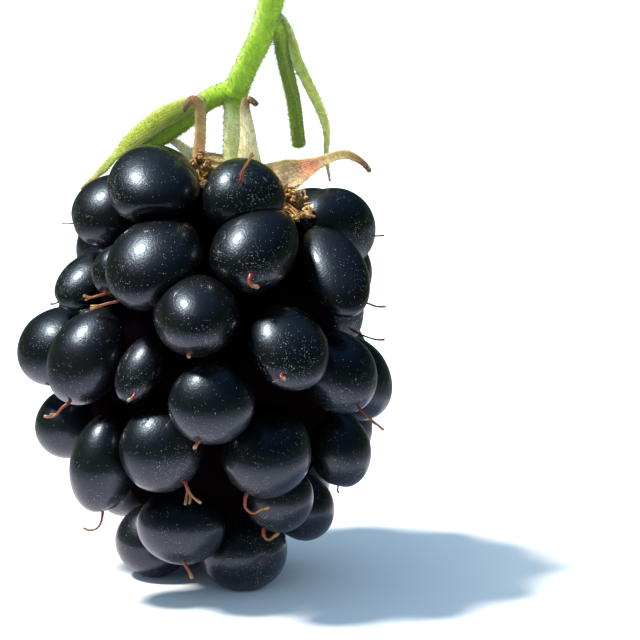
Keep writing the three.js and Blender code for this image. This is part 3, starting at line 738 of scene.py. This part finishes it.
style_numbers = np.random.RandomState(STYLE_SEED)
styles = []
for body in bodies:
    for name, *thread in STYLES:
        if name == body.name:
            styles.append(grow_style(body, *thread))
    if body.style:
        bearing, droop, length = body.style
        turn = towards(bearing, droop) * length * (1 - BACK_CURL)
        root = body.root * length * BACK_CURL
        bends = []
        for share in (0, 0.5, 1):
            bent = root + turn * share + style_numbers.normal(0, BACK_KINK, 3)
            bends.append((bent[0], bent[2], bent[1] * body.root[1]))
        width, tone, dark = (style_numbers.uniform(*ends) for ends in BACK_STYLE_LOOKS)
        styles.append(grow_style(body, width, tone, dark, bends))

styles = weld(joined("styles", styles))
styles.data.materials.append(style_material())
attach(styles, "root")
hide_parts("drupelets")


# The calyx: a dry, woolly disc under the stalk, with five sepals that have withered each its own
# way: one rolled up like a thread, one upright, one broad and spread out, and two behind.
DISC_MIDDLE = (1.5, 0.9, 23.2)
DISC_RADIUS = 2.4
DISC_THICKNESS = 0.9
DISC_TILT = 18  # degrees, down to +X
DISC_LUMPS = (0.12, 0.04)  # broad and narrow ones, in shares of its radius
DISC_FOLDS = 0.05
BLADE_SIDES = 20
BLADE_STEPS = 40
MARGIN_END = 0.9  # share of a blade's length at which its margin loses its own colour
MARGIN_TINT = 0.7
CREAM = (0.96, 0.74, 0.40)
IVORY = (0.97, 0.84, 0.50)
LEAF = (0.34, 0.36, 0.10)
STRAW = (0.86, 0.70, 0.28)
RUST = (0.25, 0.13, 0.05)
PLUM = (0.11, 0.06, 0.05)
BLUSH = (0.95, 0.44, 0.28)
WOOL = (0.52, 0.36, 0.13)
SEPALS = [
    dict(  # rolled and upright, with its tip hooked to -X
        path=[(-0.2, 0.1, 23.5), (-0.6, -0.5, 24.3), (-0.56, -0.6, 25.4), (-0.52, -0.6, 26.5),
              (-0.62, -0.6, 27.2), (-0.98, -0.6, 27.5), (-1.32, -0.6, 27.2), (-1.45, -0.6, 26.85)],
        widths=(2.0, 1.7, 1.5, 1.4, 1.4, 1.1, 0.5), thicknesses=(0.3, 0.22, 0.2, 0.2, 0.16),
        rolls=(150, 230, 270, 270, 260, 240, 200), side=(0, 1, 0),
        colours=[(0, WOOL), (0.12, BLUSH), (0.3, (0.96, 0.52, 0.24)), (0.6, (0.62, 0.40, 0.13)),
                 (0.8, RUST), (1, PLUM)],
        edge=(0.30, 0.26, 0.05),
    ),
    dict(  # upright in front of the stalk, with its tip bent to +X
        path=[(2.0, 0.0, 23.1), (2.1, -0.7, 24.0), (2.06, -0.5, 25.3), (1.95, -0.25, 26.4),
              (1.9, -0.1, 27.05), (2.1, -0.1, 27.42), (2.55, -0.1, 27.1)],
        widths=(2.0, 1.5, 1.1, 0.9, 0.6, 0.35), thicknesses=(0.35, 0.2, 0.2, 0.15),
        rolls=(70, 80, 100, 120, 140), side=(1, 0, 0),
        colours=[(0, STRAW), (0.25, IVORY), (0.55, IVORY), (0.75, (0.42, 0.38, 0.20)), (0.86, RUST),
                 (1, PLUM)],
        edge=(0.70, 0.62, 0.26),
    ),
    dict(  # the broad one, spread to +X and drooping at its tip
        path=[(3.0, 0.5, 22.6), (3.92, 0.15, 22.8), (4.93, 0.0, 23.3), (6.05, 0.0, 23.83),
              (6.94, -0.05, 24.2), (7.5, -0.05, 24.28), (7.95, -0.1, 24.13), (8.5, -0.15, 23.76),
              (8.8, -0.2, 23.4)],
        widths=(2.2, 2.4, 2.2, 1.4, 0.8, 0.62, 0.6, 0.45, 0.3), thicknesses=(0.4, 0.25, 0.22, 0.18),
        rolls=(70, 80, 90, 120, 150), side=(0, 0.6, 1),
        colours=[(0, WOOL), (0.1, CREAM), (0.28, (0.60, 0.46, 0.27)), (0.42, (0.66, 0.24, 0.15)),
                 (0.58, (0.52, 0.38, 0.20)), (0.75, (0.46, 0.34, 0.13)), (0.88, RUST), (1, PLUM)],
        edge=(0.50, 0.42, 0.16),
    ),
    dict(  # upright behind the stalk
        path=[(1.5, 2.3, 23.2), (1.6, 3.2, 23.9), (1.55, 3.5, 25.0), (1.7, 3.4, 26.2)],
        widths=(2.2, 1.7, 1.1, 0.3), thicknesses=(0.3, 0.2, 0.15), rolls=(60, 80, 100), side=(1, 0, 0),
        colours=[(0, WOOL), (0.2, STRAW), (0.7, CREAM), (0.9, RUST), (1, PLUM)],
        edge=LEAF,
    ),
    dict(  # spread low to -X
        path=[(0.2, 1.6, 23.6), (-0.9, 1.9, 23.9), (-2.1, 2.1, 24.7), (-2.9, 2.2, 24.9)],
        widths=(2.2, 1.6, 1.0, 0.3), thicknesses=(0.3, 0.2, 0.15), rolls=(60, 90, 110), side=(0, 1, 0.3),
        colours=[(0, WOOL), (0.2, STRAW), (0.4, IVORY), (0.9, IVORY), (1, RUST)],
        edge=IVORY,
    ),
]
LEAF_DARKENING = (0.6, 0.5, 0.38)
LEAF_WRINKLES = 0.05
LEAF_GLOW = (0.6 * MM, 0.5 * MM, 0.2 * MM)
VEINS = 26


def write_tint(mesh, colours):
    layer = mesh.attributes.new("tint", "FLOAT_COLOR", "POINT")
    solid = np.ones((len(mesh.vertices), 4), np.float32)
    solid[:, :3] = colours
    layer.data.foreach_set("color", solid.ravel())


def read_values(mesh, name):
    values = np.empty(len(mesh.vertices))
    mesh.attributes[name].data.foreach_get("value", values)
    return values


def blend(first, second, share):
    return np.array(first) * (1 - share) + np.array(second) * share


def ramp(stops, share):
    """Colours between the stops, at each share."""
    colours = np.array([colour for _, colour in stops])
    return np.stack([np.interp(share, [at for at, _ in stops], colours[:, k]) for k in range(3)], 1)


def grow_blade(colours, edge, **shape):
    """A sepal or a bract, in colours that change along it and are paler or darker at its margins."""
    blade = limb(sides=BLADE_SIDES, steps=BLADE_STEPS, **shape)
    share = read_values(blade.data, "along")
    margin = np.abs(read_values(blade.data, "across")) ** 3 * (MARGIN_END - share).clip(0, MARGIN_TINT)
    write_tint(blade.data, blend(ramp(colours, share), edge, margin[:, None]))
    return blade


def on_disc(points):
    """From the disc's own axes to millimetres from the foot of the berry's axis."""
    cosine, sine = math.cos(math.radians(DISC_TILT)), math.sin(math.radians(DISC_TILT))
    x, y, z = np.asarray(points, float).T
    return np.stack([x * cosine + z * sine, y, z * cosine - x * sine], 1) + DISC_MIDDLE


def grow_disc():
    disc = unit_sphere(72, 24)
    points = coordinates(disc.data)
    around = np.arctan2(points[:, 1], points[:, 0])
    out = np.hypot(points[:, 0], points[:, 1])
    broad, narrow = DISC_LUMPS
    lumps = 1 + broad * np.sin(around * 5 + 1) * out + narrow * np.sin(around * 17 + points[:, 2] * 4)
    points[:, :2] *= DISC_RADIUS * lumps[:, None]
    points[:, 2] = points[:, 2] * DISC_THICKNESS / 2 + DISC_FOLDS * np.sin(around * 11) * out
    write_points(disc.data, metres(on_disc(points)))
    write_values(disc.data, "across", 0.0)
    write_tint(disc.data, WOOL)
    return disc


def dry_leaf_material(name, vein_strength, fold_size):
    """Dry leaf: its tint is painted on the mesh, with veins along it, mottling and fine wrinkles."""
    material, shade, place = new_material(name)
    painted = shade.attribute("tint", "Color")
    mottle = shade.noise(place, fold_size, 4.0)
    veins = (shade.attribute("across") * VEINS + mottle * 5).math("SINE")
    darker = painted.darkened(LEAF_DARKENING)
    colour = (mottle.rise(0.42, 0.66) * 0.5).mix(painted, darker)
    grain = shade.noise(place, fold_size / 4)
    return surface(material, {
        "Base Color": ((1 - veins.rise(-1.0, 0.2)) * 0.12).mix(colour, darker),
        "Roughness": 0.75,
        "Normal": (veins * vein_strength + mottle + grain * 0.5).bump(LEAF_WRINKLES),
        "Specular IOR Level": 0.25,
        "Subsurface Weight": 0.6,
        "Subsurface Radius": LEAF_GLOW,
        "Subsurface Scale": 1.0,
    })


calyx = weld(joined("calyx_disc_and_sepals", [grow_disc(), *(grow_blade(**one) for one in SEPALS)]))
calyx.data.materials.append(dry_leaf_material("dried_sepal", 0.15, 0.5))
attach(calyx, "root")
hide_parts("calyx")


# The stamens: dozens of withered threads in a ring under the disc, curled every way. Most end in
# a dry, golden anther. They stick out where the crown gapes, at the front left and at the right.
STAMEN_RING = 2.0  # radius, round the disc's middle
STAMEN_BELOW = 0.85
STAMEN_RING_WIDTH = 0.6
STAMEN_RING_LUMPS = 0.03
STAMEN_COUNT = 110
STAMEN_LENGTH = (0.7, 1.5)
STAMEN_WIDTH = (0.12, 0.09, 0.07)
STAMEN_SIDES = 6
STAMEN_STEPS = 10
STAMEN_SEED = 21
STAMEN_TUFTS = [(-62, 22, 0.1), (72, 30, 1.6)]  # bearing, half its spread, extra length
STAMEN_STRAY = 3  # degrees, off their even spacing
GOLDEN_SIDE = (20, 130)  # most stamens are golden between these bearings
GOLDEN, BROWNER = 0.6, 1.6  # powers that lift or lower a random share of gold
STAMEN_GOLD = (0.64, 0.30, 0.09)
STAMEN_BROWN = (0.25, 0.115, 0.05)
ANTHER_GOLD = (0.76, 0.42, 0.14)
ANTHER_SIZE = (0.10, 0.07, 0.05)
ANTHER_SHARE = 0.7
ANTHER_GROOVE = (0.25, 0.3)  # depth and width, in shares of its radius
ANTHER_TONE = (0.35, 1.0)
STAMEN_LIFT = (-0.45, 0.15)  # rise over length
STAMEN_SUNK = 0.3
STAMEN_CURL = 0.16
CLUMP_THICK = 1.5
CLUMP_REACH = 0.6  # how far the threads stray from its middle, in shares of its radius
CLUMP_ENDS = 0.55
CLUMP_CURL = 0.5
CLUMP_ROOTED = 0.35  # share of its threads that start from the ring
CLUMP_TONE = (0.5, 1.2)
CLUMPS = [  # middle, radius, count and share of gold: knots of stamens that stand off the ring
    ((-0.6, -1.75, 24.2), 0.40, 16, 0.15),
    ((4.3, -1.3, 22.35), 0.36, 16, 0.45),
    ((4.9, -1.1, 21.7), 0.42, 18, 0.3),
    ((5.5, -1.95, 21.35), 0.36, 16, 0.95),
    ((4.8, -2.2, 21.15), 0.26, 9, 0.8),
]


def grow_stamen(path, gold, anther, thick=1.0):
    """A thread along the path, with or without its anther."""
    thread = limb(path, [one * thick for one in STAMEN_WIDTH], sides=STAMEN_SIDES, steps=STAMEN_STEPS)
    write_tint(thread.data, blend(STAMEN_BROWN, STAMEN_GOLD, gold))
    if not anther:
        return [thread]
    bpy.ops.mesh.primitive_ico_sphere_add(subdivisions=2, radius=1)
    sac = bpy.context.object
    turn = np.linalg.qr(stamen_numbers.normal(size=(3, 3)))[0]
    turn *= np.sign(np.linalg.det(turn))
    lobed = coordinates(sac.data)
    depth, width = ANTHER_GROOVE
    lobed *= (1 - depth * np.exp(-((lobed[:, 1] / width) ** 2)))[:, None]
    write_points(sac.data, metres(path[-1] + (lobed * ANTHER_SIZE * thick) @ turn))
    write_values(sac.data, "across", 0.0)
    tone = stamen_numbers.uniform(*ANTHER_TONE)
    write_tint(sac.data, blend(STAMEN_BROWN, ANTHER_GOLD, tone))
    return [thread, sac]


def curl(start, end, loose):
    """Five points from start to end that wander off the straight way."""
    share = np.linspace(0, 1, 5)[:, None]
    wander = stamen_numbers.normal(0, loose, (5, 3)) * np.sin(share * math.pi * 0.75)
    return np.asarray(start) * (1 - share) + np.asarray(end) * share + wander


def grow_ring_stamens():
    pieces = []
    for k in range(STAMEN_COUNT):
        bearing = 360 * k / STAMEN_COUNT + stamen_numbers.uniform(-STAMEN_STRAY, STAMEN_STRAY)
        length = stamen_numbers.uniform(*STAMEN_LENGTH)
        for tuft, half, extra in STAMEN_TUFTS:
            if abs((bearing - tuft + 180) % 360 - 180) < half:
                length += extra * stamen_numbers.uniform(0.3, 1)
        out = towards(bearing, 0)
        lift = stamen_numbers.uniform(*STAMEN_LIFT)
        start = out * (STAMEN_RING - STAMEN_SUNK) + (0, 0, -STAMEN_BELOW)
        end = out * (STAMEN_RING + length) + (0, 0, -STAMEN_BELOW + lift * length)
        start, end = on_disc([start, end])
        power = GOLDEN if GOLDEN_SIDE[0] < bearing < GOLDEN_SIDE[1] else BROWNER
        gold = stamen_numbers.uniform() ** power
        way = curl(start, end, STAMEN_CURL)
        pieces += grow_stamen(way, gold, stamen_numbers.uniform() < ANTHER_SHARE)
    return pieces


def grow_clump(middle, radius, count, gold):
    """A knot of stamens, some of which lead back to the ring."""
    pieces = []
    anchor = on_disc([(0, 0, -STAMEN_BELOW)])[0]
    away = middle - anchor
    foot = anchor + away * (STAMEN_RING / np.linalg.norm(away[:2]))
    for _ in range(count):
        end = middle + stamen_numbers.normal(0, radius * CLUMP_ENDS, 3)
        start = middle + stamen_numbers.normal(0, radius * CLUMP_REACH, 3)
        if stamen_numbers.uniform() < CLUMP_ROOTED:
            start = foot
        tone = min(1, gold * stamen_numbers.uniform(*CLUMP_TONE))
        way = curl(start, end, radius * CLUMP_CURL)
        pieces += grow_stamen(way, tone, stamen_numbers.uniform() < ANTHER_SHARE, CLUMP_THICK)
    return pieces


def grow_stamen_ring():
    bpy.ops.mesh.primitive_torus_add(major_segments=64, minor_segments=10, major_radius=STAMEN_RING,
                                     minor_radius=STAMEN_RING_WIDTH / 2)
    ring = bpy.context.object
    points = coordinates(ring.data) - (0, 0, STAMEN_BELOW)
    points *= 1 + STAMEN_RING_LUMPS * np.sin(13 * np.arctan2(points[:, 1], points[:, 0]))[:, None]
    write_points(ring.data, metres(on_disc(points)))
    write_values(ring.data, "across", 0.0)
    write_tint(ring.data, STAMEN_BROWN)
    return ring


stamen_numbers = np.random.RandomState(STAMEN_SEED)
threads = [grow_stamen_ring(), *grow_ring_stamens()]
for clump in CLUMPS:
    threads += grow_clump(*clump)
stamens = weld(joined("stamen_threads", threads))
stamens.data.materials.append(dry_leaf_material("dried_stamen", 0.0, 0.15))
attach(stamens, "root")
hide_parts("stamens")


# The stalk: green and woolly, forked in two above the berry, with a dark green stub that was cut
# off behind. Its limbs have grown together, so they are melted into one skin.
STALK_LIMBS = [
    dict(  # main stalk, from its cut top to the fork
        path=[(4.0, 1.6, 34.6), (3.42, 1.5, 32.9), (2.72, 1.3, 30.6), (2.16, 1.15, 29.5),
              (1.65, 1.0, 28.4), (1.3, 1.0, 27.4)],
        widths=(1.36, 1.36, 1.34, 1.3, 1.35),
    ),
    dict(  # down from the fork to the disc
        path=[(1.45, 1.0, 28.0), (1.2, 1.0, 26.8), (1.15, 1.0, 25.2), (1.2, 1.0, 23.9), (1.3, 1.0, 22.8)],
        widths=(1.05, 0.95, 0.95, 1.1, 1.7),
    ),
    dict(  # out to -X from the fork, to where the bract leaves
        path=[(1.6, 1.0, 27.9), (0.73, 1.1, 27.6), (-0.11, 1.25, 27.2), (-0.78, 1.4, 26.6),
              (-1.5, 1.5, 25.9), (-2.35, 1.6, 25.25), (-3.25, 1.75, 24.6), (-4.3, 2.0, 23.8)],
        widths=(1.1, 1.1, 1.1, 1.0, 0.9, 0.85, 0.8, 0.75),
    ),
    dict(  # cut stub, hanging behind
        path=[(3.3, 1.4, 31.7), (3.75, 1.8, 30.9), (4.03, 2.2, 29.3), (4.54, 2.8, 26.9), (4.87, 3.3, 24.2)],
        widths=(0.85, 0.82, 0.8, 0.78, 0.76),
    ),
    dict(  # the web that fills the corner of the fork
        path=[(2.25, 1.1, 29.4), (1.55, 1.05, 28.3), (0.85, 1.15, 27.6), (-0.4, 1.3, 27.0)],
        widths=(1.0, 1.1, 1.1, 0.9),
    ),
]
STALK_SIDES = 24
STALK_STEPS = 60
STALK_VOXEL = 0.07
STALK_RIDGES = 0.02
STALK_GREEN = (0.36, 0.56, 0.012)
STALK_PALE = (1.0, 1.0, 0.52)
STALK_DARK = (0.24, 0.31, 0.030)
STALK_CUT = (0.45, 0.48, 0.24)
STALK_SHADE = (0.84, 0.88, 0.74)
STALK_PIMPLES = (0.6, 0.68, 0.2)
STALK_FIBRES = (1.0, 1.0, 0.12)  # the fibres are stretched along Z
STALK_GRAIN = 0.04
STALK_GLOW = (0.6 * MM, 0.7 * MM, 0.1 * MM)
CUT_SHARE = 0.004  # of a limb's length, for the face where it was cut
ROUTE_STEPS = 200
MAIN, PEDICEL, LEFT, STUB = range(4)  # which limb is which


def grow_stalk():
    """Limbs melted into one skin, which knows where it was cut and where it is dark or pale. Part of the
    dark is painted shade, and part of the pale is painted sunlight.
    """
    limbs = [limb(sides=STALK_SIDES, steps=STALK_STEPS, dome=0, **one) for one in STALK_LIMBS]
    stalk = weld(joined("stalk_limbs", limbs))
    select([stalk])
    melt = stalk.modifiers.new("melt", "REMESH")
    melt.mode = "VOXEL"
    melt.voxel_size = STALK_VOXEL * MM
    bpy.ops.object.modifier_apply(modifier="melt")
    ease = stalk.modifiers.new("ease", "SMOOTH")
    ease.factor = 0.5
    ease.iterations = 6
    bpy.ops.object.modifier_apply(modifier="ease")
    bpy.ops.object.select_all(action="DESELECT")

    routes = [smooth_path(one["path"], ROUTE_STEPS) for one in STALK_LIMBS]
    tree = KDTree(sum(len(points) for points, _ in routes))
    marks = []
    for index, (points, along) in enumerate(routes):
        for step, (point, ahead) in enumerate(zip(points, along)):
            tree.insert(point, len(marks))
            marks.append((index, step / ROUTE_STEPS, point, ahead))
    tree.balance()
    points = coordinates(stalk.data) / MM - AXIS_TO_ORIGIN
    own, share, around = np.empty((3, len(points)))
    outwards = np.empty_like(points)
    for k, point in enumerate(points):
        index, at, middle, ahead = marks[tree.find(point)[1]]
        out = point - middle
        out -= ahead * (out @ ahead)
        outwards[k] = out / max(1e-6, np.linalg.norm(out))
        level = np.cross(ahead, (0, 1, 0))
        own[k], share[k] = index, at
        around[k] = math.atan2(out @ np.cross(ahead, level), out @ level)
    far_end = share > 1 - CUT_SHARE
    cut = (own == MAIN) & (share < CUT_SHARE) | (own == STUB) & far_end | (own == LEFT) & far_end
    ridges = np.sin(around * 5 + share * 3) * STALK_RIDGES * ~cut
    write_points(stalk.data, metres(points + outwards * ridges[:, None]))
    write_values(stalk.data, "cut", cut)
    # The stub is dark. The left limb gets a little darker on its way behind the berry: painted shade, where
    # the bract above shades it.
    dark = np.clip((own == STUB) * (share * 4), 0, 1) + (own == LEFT) * np.clip((share - 0.35) * 2, 0, 0.25)
    write_values(stalk.data, "dark", dark)
    # The pedicel is pale below the fork. Every side that faces -X, towards the sun, is painted paler as
    # well: painted sunlight.
    painted_sunlit_side = np.clip(outwards[:, 0] * -0.9 - 0.1, 0, 1) * 0.5
    pale = np.clip((own == PEDICEL) * np.clip(share * 4 - 0.6, 0, 1) + painted_sunlit_side, 0, 1)
    write_values(stalk.data, "pale", pale)
    stalk.data.shade_smooth()
    return stalk


def stalk_material():
    material, shade, place = new_material("green_stalk")
    lengthways = place.node("VectorMath", {"operation": "MULTIPLY"}, {0: place, 1: STALK_FIBRES})
    fibres = shade.noise(lengthways, 0.11, 3.0)
    patches = shade.noise(place, 1.2, 3.0)
    # pale: the pedicel's own paleness, and painted sunlight on the sides that face -X.
    green_pale_and_sunlit = (shade.attribute("pale") + patches * 0.5 - 0.25).rise(0.0, 1.0).mix(STALK_GREEN, STALK_PALE)
    # dark: the stub's own darker green, and painted shade on the far part of the left limb.
    colour = shade.attribute("dark").mix(green_pale_and_sunlit, STALK_DARK)
    colour = fibres.rise(0.35, 0.65).mix(colour.darkened(STALK_SHADE), colour)
    pimples = 1 - shade.cells(place, 0.28).rise(0.08, 0.2)
    colour = (pimples * 0.15).mix(colour, STALK_PIMPLES)
    return surface(material, {
        "Base Color": shade.attribute("cut").mix(colour, STALK_CUT),
        "Roughness": 0.55,
        "Normal": (fibres * 0.8 + pimples * 0.6).bump(STALK_GRAIN),
        "Specular IOR Level": 0.25,
        "Subsurface Weight": 0.5,
        "Subsurface Radius": STALK_GLOW,
        "Subsurface Scale": 1.0,
    })


stalk = grow_stalk()
stalk.data.materials.append(stalk_material())
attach(stalk, "root")
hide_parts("stalk")


# The bracts: two narrow leaf blades on the stalk, folded along the middle and drawn out into a
# thin brown tip.
BRACTS = {
    "bract_left": dict(
        path=[(-0.3, 0.95, 27.1), (-1.0, 0.95, 26.95), (-1.82, 1.0, 26.64), (-2.6, 1.15, 26.25),
              (-3.47, 1.35, 25.68), (-4.9, 1.9, 24.5), (-5.94, 2.5, 23.25), (-6.8, 2.8, 22.4),
              (-7.4, 3.1, 21.8)],
        widths=(0.7, 1.1, 1.3, 1.35, 1.35, 1.2, 0.85, 0.4, 0.14), thicknesses=(0.4, 0.3, 0.28, 0.25, 0.12),
        side=(0.55, 0, 0.8), rolls=(60, 75, 80, 70, 60),
        colours=[(0, (0.28, 0.40, 0.02)), (0.3, (0.33, 0.38, 0.03)), (0.75, (0.36, 0.42, 0.05)),
                 (0.88, (0.50, 0.44, 0.20)), (1, RUST)],
        # The paler margin is partly the blade's own colour and partly painted sheen.
        edge=(0.66, 0.70, 0.34),
    ),
    "bract_right": dict(
        path=[(3.2, 1.5, 32.2), (3.95, 1.7, 31.5), (4.4, 1.9, 30.5), (4.76, 2.0, 29.3), (5.3, 2.1, 28.1),
              (5.85, 2.2, 26.95), (6.33, 2.2, 25.7), (6.44, 2.2, 24.9), (6.4, 2.2, 23.9), (6.6, 2.2, 22.4)],
        widths=(0.5, 0.6, 0.65, 0.62, 0.5, 0.3, 0.12), thicknesses=(0.4, 0.28, 0.25, 0.1),
        side=(1, 0, 0.4), rolls=(70, 90, 90, 80),
        colours=[(0, (0.28, 0.37, 0.04)), (0.4, (0.64, 0.72, 0.14)), (0.7, (0.96, 1.0, 0.30)),
                 (0.8, (0.70, 0.70, 0.34)), (0.92, (0.68, 0.64, 0.52)), (1, (0.56, 0.50, 0.42))],
        # The paler margin is partly the blade's own colour and partly painted sheen.
        edge=(0.66, 0.76, 0.28),
    ),
}

bract_surface = dry_leaf_material("green_blade", 0.1, 0.35)
for name, shape in BRACTS.items():
    blade = weld(joined(name + "_blade", [grow_blade(**shape)]))
    blade.data.materials.append(bract_surface)
    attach(blade, "root")
    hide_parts(name)


# The wool: fine pale hairs that grow all over the stalk and the bracts, and more thickly on the
# calyx. Each is a bent spike with three sides, rooted just under the surface.
HAIR_WIDTH = 0.019
HAIR_SIDES = 3
HAIR_TAPER = 0.7  # its width halfway, in shares of its width at the root
HAIR_SUNK = 0.03
HAIR_LEAN = 0.45
HAIR_BEND = 0.35
HAIR_SAG = (0, 0, 0.15)
HAIR_DARKENING = 0.75
HAIR_SEED = 41
WOOLS = [  # carrier, what it replaces, slot, hairs, length from and to, colour
    ("stalk_limbs", "stalk", "green_stalk", 16000, (0.08, 0.28), (0.42, 0.50, 0.20)),
    ("calyx_disc_and_sepals", "calyx", "dried_calyx", 14000, (0.08, 0.26), (0.50, 0.38, 0.20)),
    ("bract_left_blade", "bract_left", "green_bract", 3500, (0.06, 0.20), (0.46, 0.52, 0.22)),
    ("bract_right_blade", "bract_right", "green_bract", 3500, (0.06, 0.22), (0.42, 0.47, 0.24)),
]


def grow_wool(name, mesh, count, lengths):
    """Bent, three-sided, pointed hairs that start just under the surface of the carrier's mesh."""
    mesh.calc_loop_triangles()
    corners = np.empty(len(mesh.loop_triangles) * 3, int)
    mesh.loop_triangles.foreach_get("vertices", corners)
    points = coordinates(mesh) / MM
    a, b, c = points[corners.reshape(-1, 3)].transpose(1, 0, 2)
    normals = np.cross(b - a, c - a)
    areas = np.linalg.norm(normals, axis=1)
    picked = hair_numbers.choice(len(areas), count, p=areas / areas.sum())
    u, v = hair_numbers.uniform(size=(2, count, 1))
    u, v = np.where(u + v > 1, 1 - u, u), np.where(u + v > 1, 1 - v, v)
    feet = a[picked] + u * (b - a)[picked] + v * (c - a)[picked]
    normals = normals[picked] / areas[picked, None]
    lean = normals + hair_numbers.normal(0, HAIR_LEAN, (count, 3))
    lean /= np.linalg.norm(lean, axis=1)[:, None]
    length = hair_numbers.uniform(*lengths, (count, 1))
    bend = hair_numbers.normal(0, HAIR_BEND, (count, 3)) - HAIR_SAG
    rows = [feet - normals * HAIR_SUNK, feet + lean * length * 0.5, feet + (lean + bend * 0.6) * length]
    across = np.cross(lean, hair_numbers.normal(size=(count, 3)))
    across /= np.linalg.norm(across, axis=1)[:, None]
    over = np.cross(lean, across)
    ring = []
    for row, width in ((rows[0], HAIR_WIDTH), (rows[1], HAIR_WIDTH * HAIR_TAPER)):
        for turn in range(HAIR_SIDES):
            angle = 2 * math.pi * turn / HAIR_SIDES
            ring.append(row + (across * math.cos(angle) + over * math.sin(angle)) * width / 2)
    ring.append(rows[2])
    places = np.stack(ring, 1).reshape(-1, 3)
    hair = [(2, 1, 0), (0, 1, 4, 3), (1, 2, 5, 4), (2, 0, 3, 5), (3, 4, 6), (4, 5, 6), (5, 3, 6)]
    faces = [[first + one for one in face] for first in range(0, len(places), len(ring)) for face in hair]
    made = bpy.data.meshes.new(name)
    made.from_pydata(places * MM, [], faces)
    wool = bpy.data.objects.new(name, made)
    bpy.context.collection.objects.link(wool)
    made.shade_smooth()
    return wool


def wool_material(name, colour):
    material, shade, place = new_material(name)
    darker = tuple(one * HAIR_DARKENING for one in colour)
    strands = shade.noise(place, 0.4).mix(darker, colour)
    return surface(material, {"Base Color": strands, "Roughness": 0.5})


hair_numbers = np.random.RandomState(HAIR_SEED)
for carrier, node, slot, count, lengths, colour in WOOLS:
    wool = grow_wool(node + "_hairs", bpy.data.objects[carrier].data, count, lengths)
    wool.data.materials.append(wool_material(node + "_wool", colour))
    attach(wool, "root")
    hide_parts(node)


# The light: a high sun from the left, a blue sky that fills the shadows, and the white cloth that
# the berry stands on.
SUN_DIRECTION = (-0.495, -0.05, 0.867)
SUN_STRENGTH = 7.0
SUN_ANGLE = 10.0  # degrees across, for a shadow with soft edges
SUN_COLOUR = (1.0, 0.97, 0.92)
SHEET_CORNERS = [(-90, -28), (120, -80), (-90, 300), (120, 300)]
SHEET_WHITE = (0.75, 0.75, 0.76)
SHEET_FIBRES = (0.735, 0.74, 0.755)
SHEET_PAINTED_LIGHT = (0.97, 0.90, 0.84)
PAINTED_LIGHT_SPAN = (10 * MM, 21 * MM)  # along X, the sheet is painted paler between these: painted light that fades the far end of the berry's shadow
SHEET_MIRRORED = (0.62, 0.56, 0.62)  # dimmer in the gloss of the skin, as cloth is from low down
SHEET_FAR = (0.08, 0.09, 0.10)
FAR_SPAN = (14 * MM, 46 * MM)  # from the middle, what is mirrored of it fades between these
SKY_FILL = (0.53, 0.77, 1.01)
SKY_WHITE = (1.0, 1.0, 1.0)
GARDEN = [  # what the gloss mirrors, from straight down to straight up
    (0.0, (0.015, 0.015, 0.02)),
    (0.48, (0.03, 0.04, 0.02)),
    (0.53, (0.08, 0.12, 0.04)),
    (0.62, (0.015, 0.03, 0.028)),
    (0.76, (0.015, 0.035, 0.075)),
    (1.0, (0.08, 0.16, 0.32)),
]


def add_sun():
    bpy.ops.object.light_add(type="SUN")
    sun = bpy.context.object
    sun.name = "sun"
    sun.data.energy = SUN_STRENGTH
    sun.data.angle = math.radians(SUN_ANGLE)
    sun.data.color = SUN_COLOUR
    sun.rotation_euler = Vector(SUN_DIRECTION).to_track_quat("Z", "Y").to_euler()


def sheet_material():
    material, shade, place = new_material("white_sheet")
    colour = (shade.noise(place, 0.5, 4.0) * 0.5).mix(SHEET_WHITE, SHEET_FIBRES)
    # Painted light: the sheet turns paler along X, which fades the far end of the berry's shadow.
    beyond = shade.node("SeparateXYZ", {}, {0: place}, "X").rise(*PAINTED_LIGHT_SPAN)
    colour = beyond.mix(colour, SHEET_PAINTED_LIGHT)
    mirrored = shade.node("LightPath", {}, {}, "Is Glossy Ray")
    away = shade.node("VectorMath", {"operation": "LENGTH"}, {0: place}, "Value")
    dimmed = away.rise(*FAR_SPAN).mix(SHEET_MIRRORED, SHEET_FAR)
    return surface(material, {"Base Color": mirrored.mix(colour, dimmed), "Roughness": 0.9})


def light_sky():
    """White behind the berry, blue in the shadows, and a dark garden in the berry's reflections."""
    world = bpy.data.worlds.new("sky")
    world.use_nodes = True
    world.node_tree.nodes.clear()
    world.cycles.sampling_method = "NONE"
    shade = Shade(world.node_tree)
    upwards = shade.node("SeparateXYZ", {}, {0: shade.node("TexCoord", {}, {}, "Object")}, "Z")
    garden = shade.node("ValToRGB", {"stops": GARDEN}, {0: upwards * 0.5 + 0.5})
    to_camera = shade.node("LightPath", {}, {}, "Is Camera Ray")
    colour = to_camera.other("Is Glossy Ray").mix(SKY_FILL, garden)
    background = shade.node("Background", {}, {"Color": to_camera.mix(colour, SKY_WHITE), "Strength": 1.0})
    output = world.node_tree.nodes.new("ShaderNodeOutputWorld")
    world.node_tree.links.new(background.socket, output.inputs["Surface"])
    bpy.context.scene.world = world


add_sun()
light_sky()
bpy.ops.mesh.primitive_plane_add(size=1)
sheet = bpy.context.object
sheet.name = "sheet"
write_points(sheet.data, np.array([(x, y, 0.0) for x, y in SHEET_CORNERS]) * MM)
sheet.data.materials.append(sheet_material())
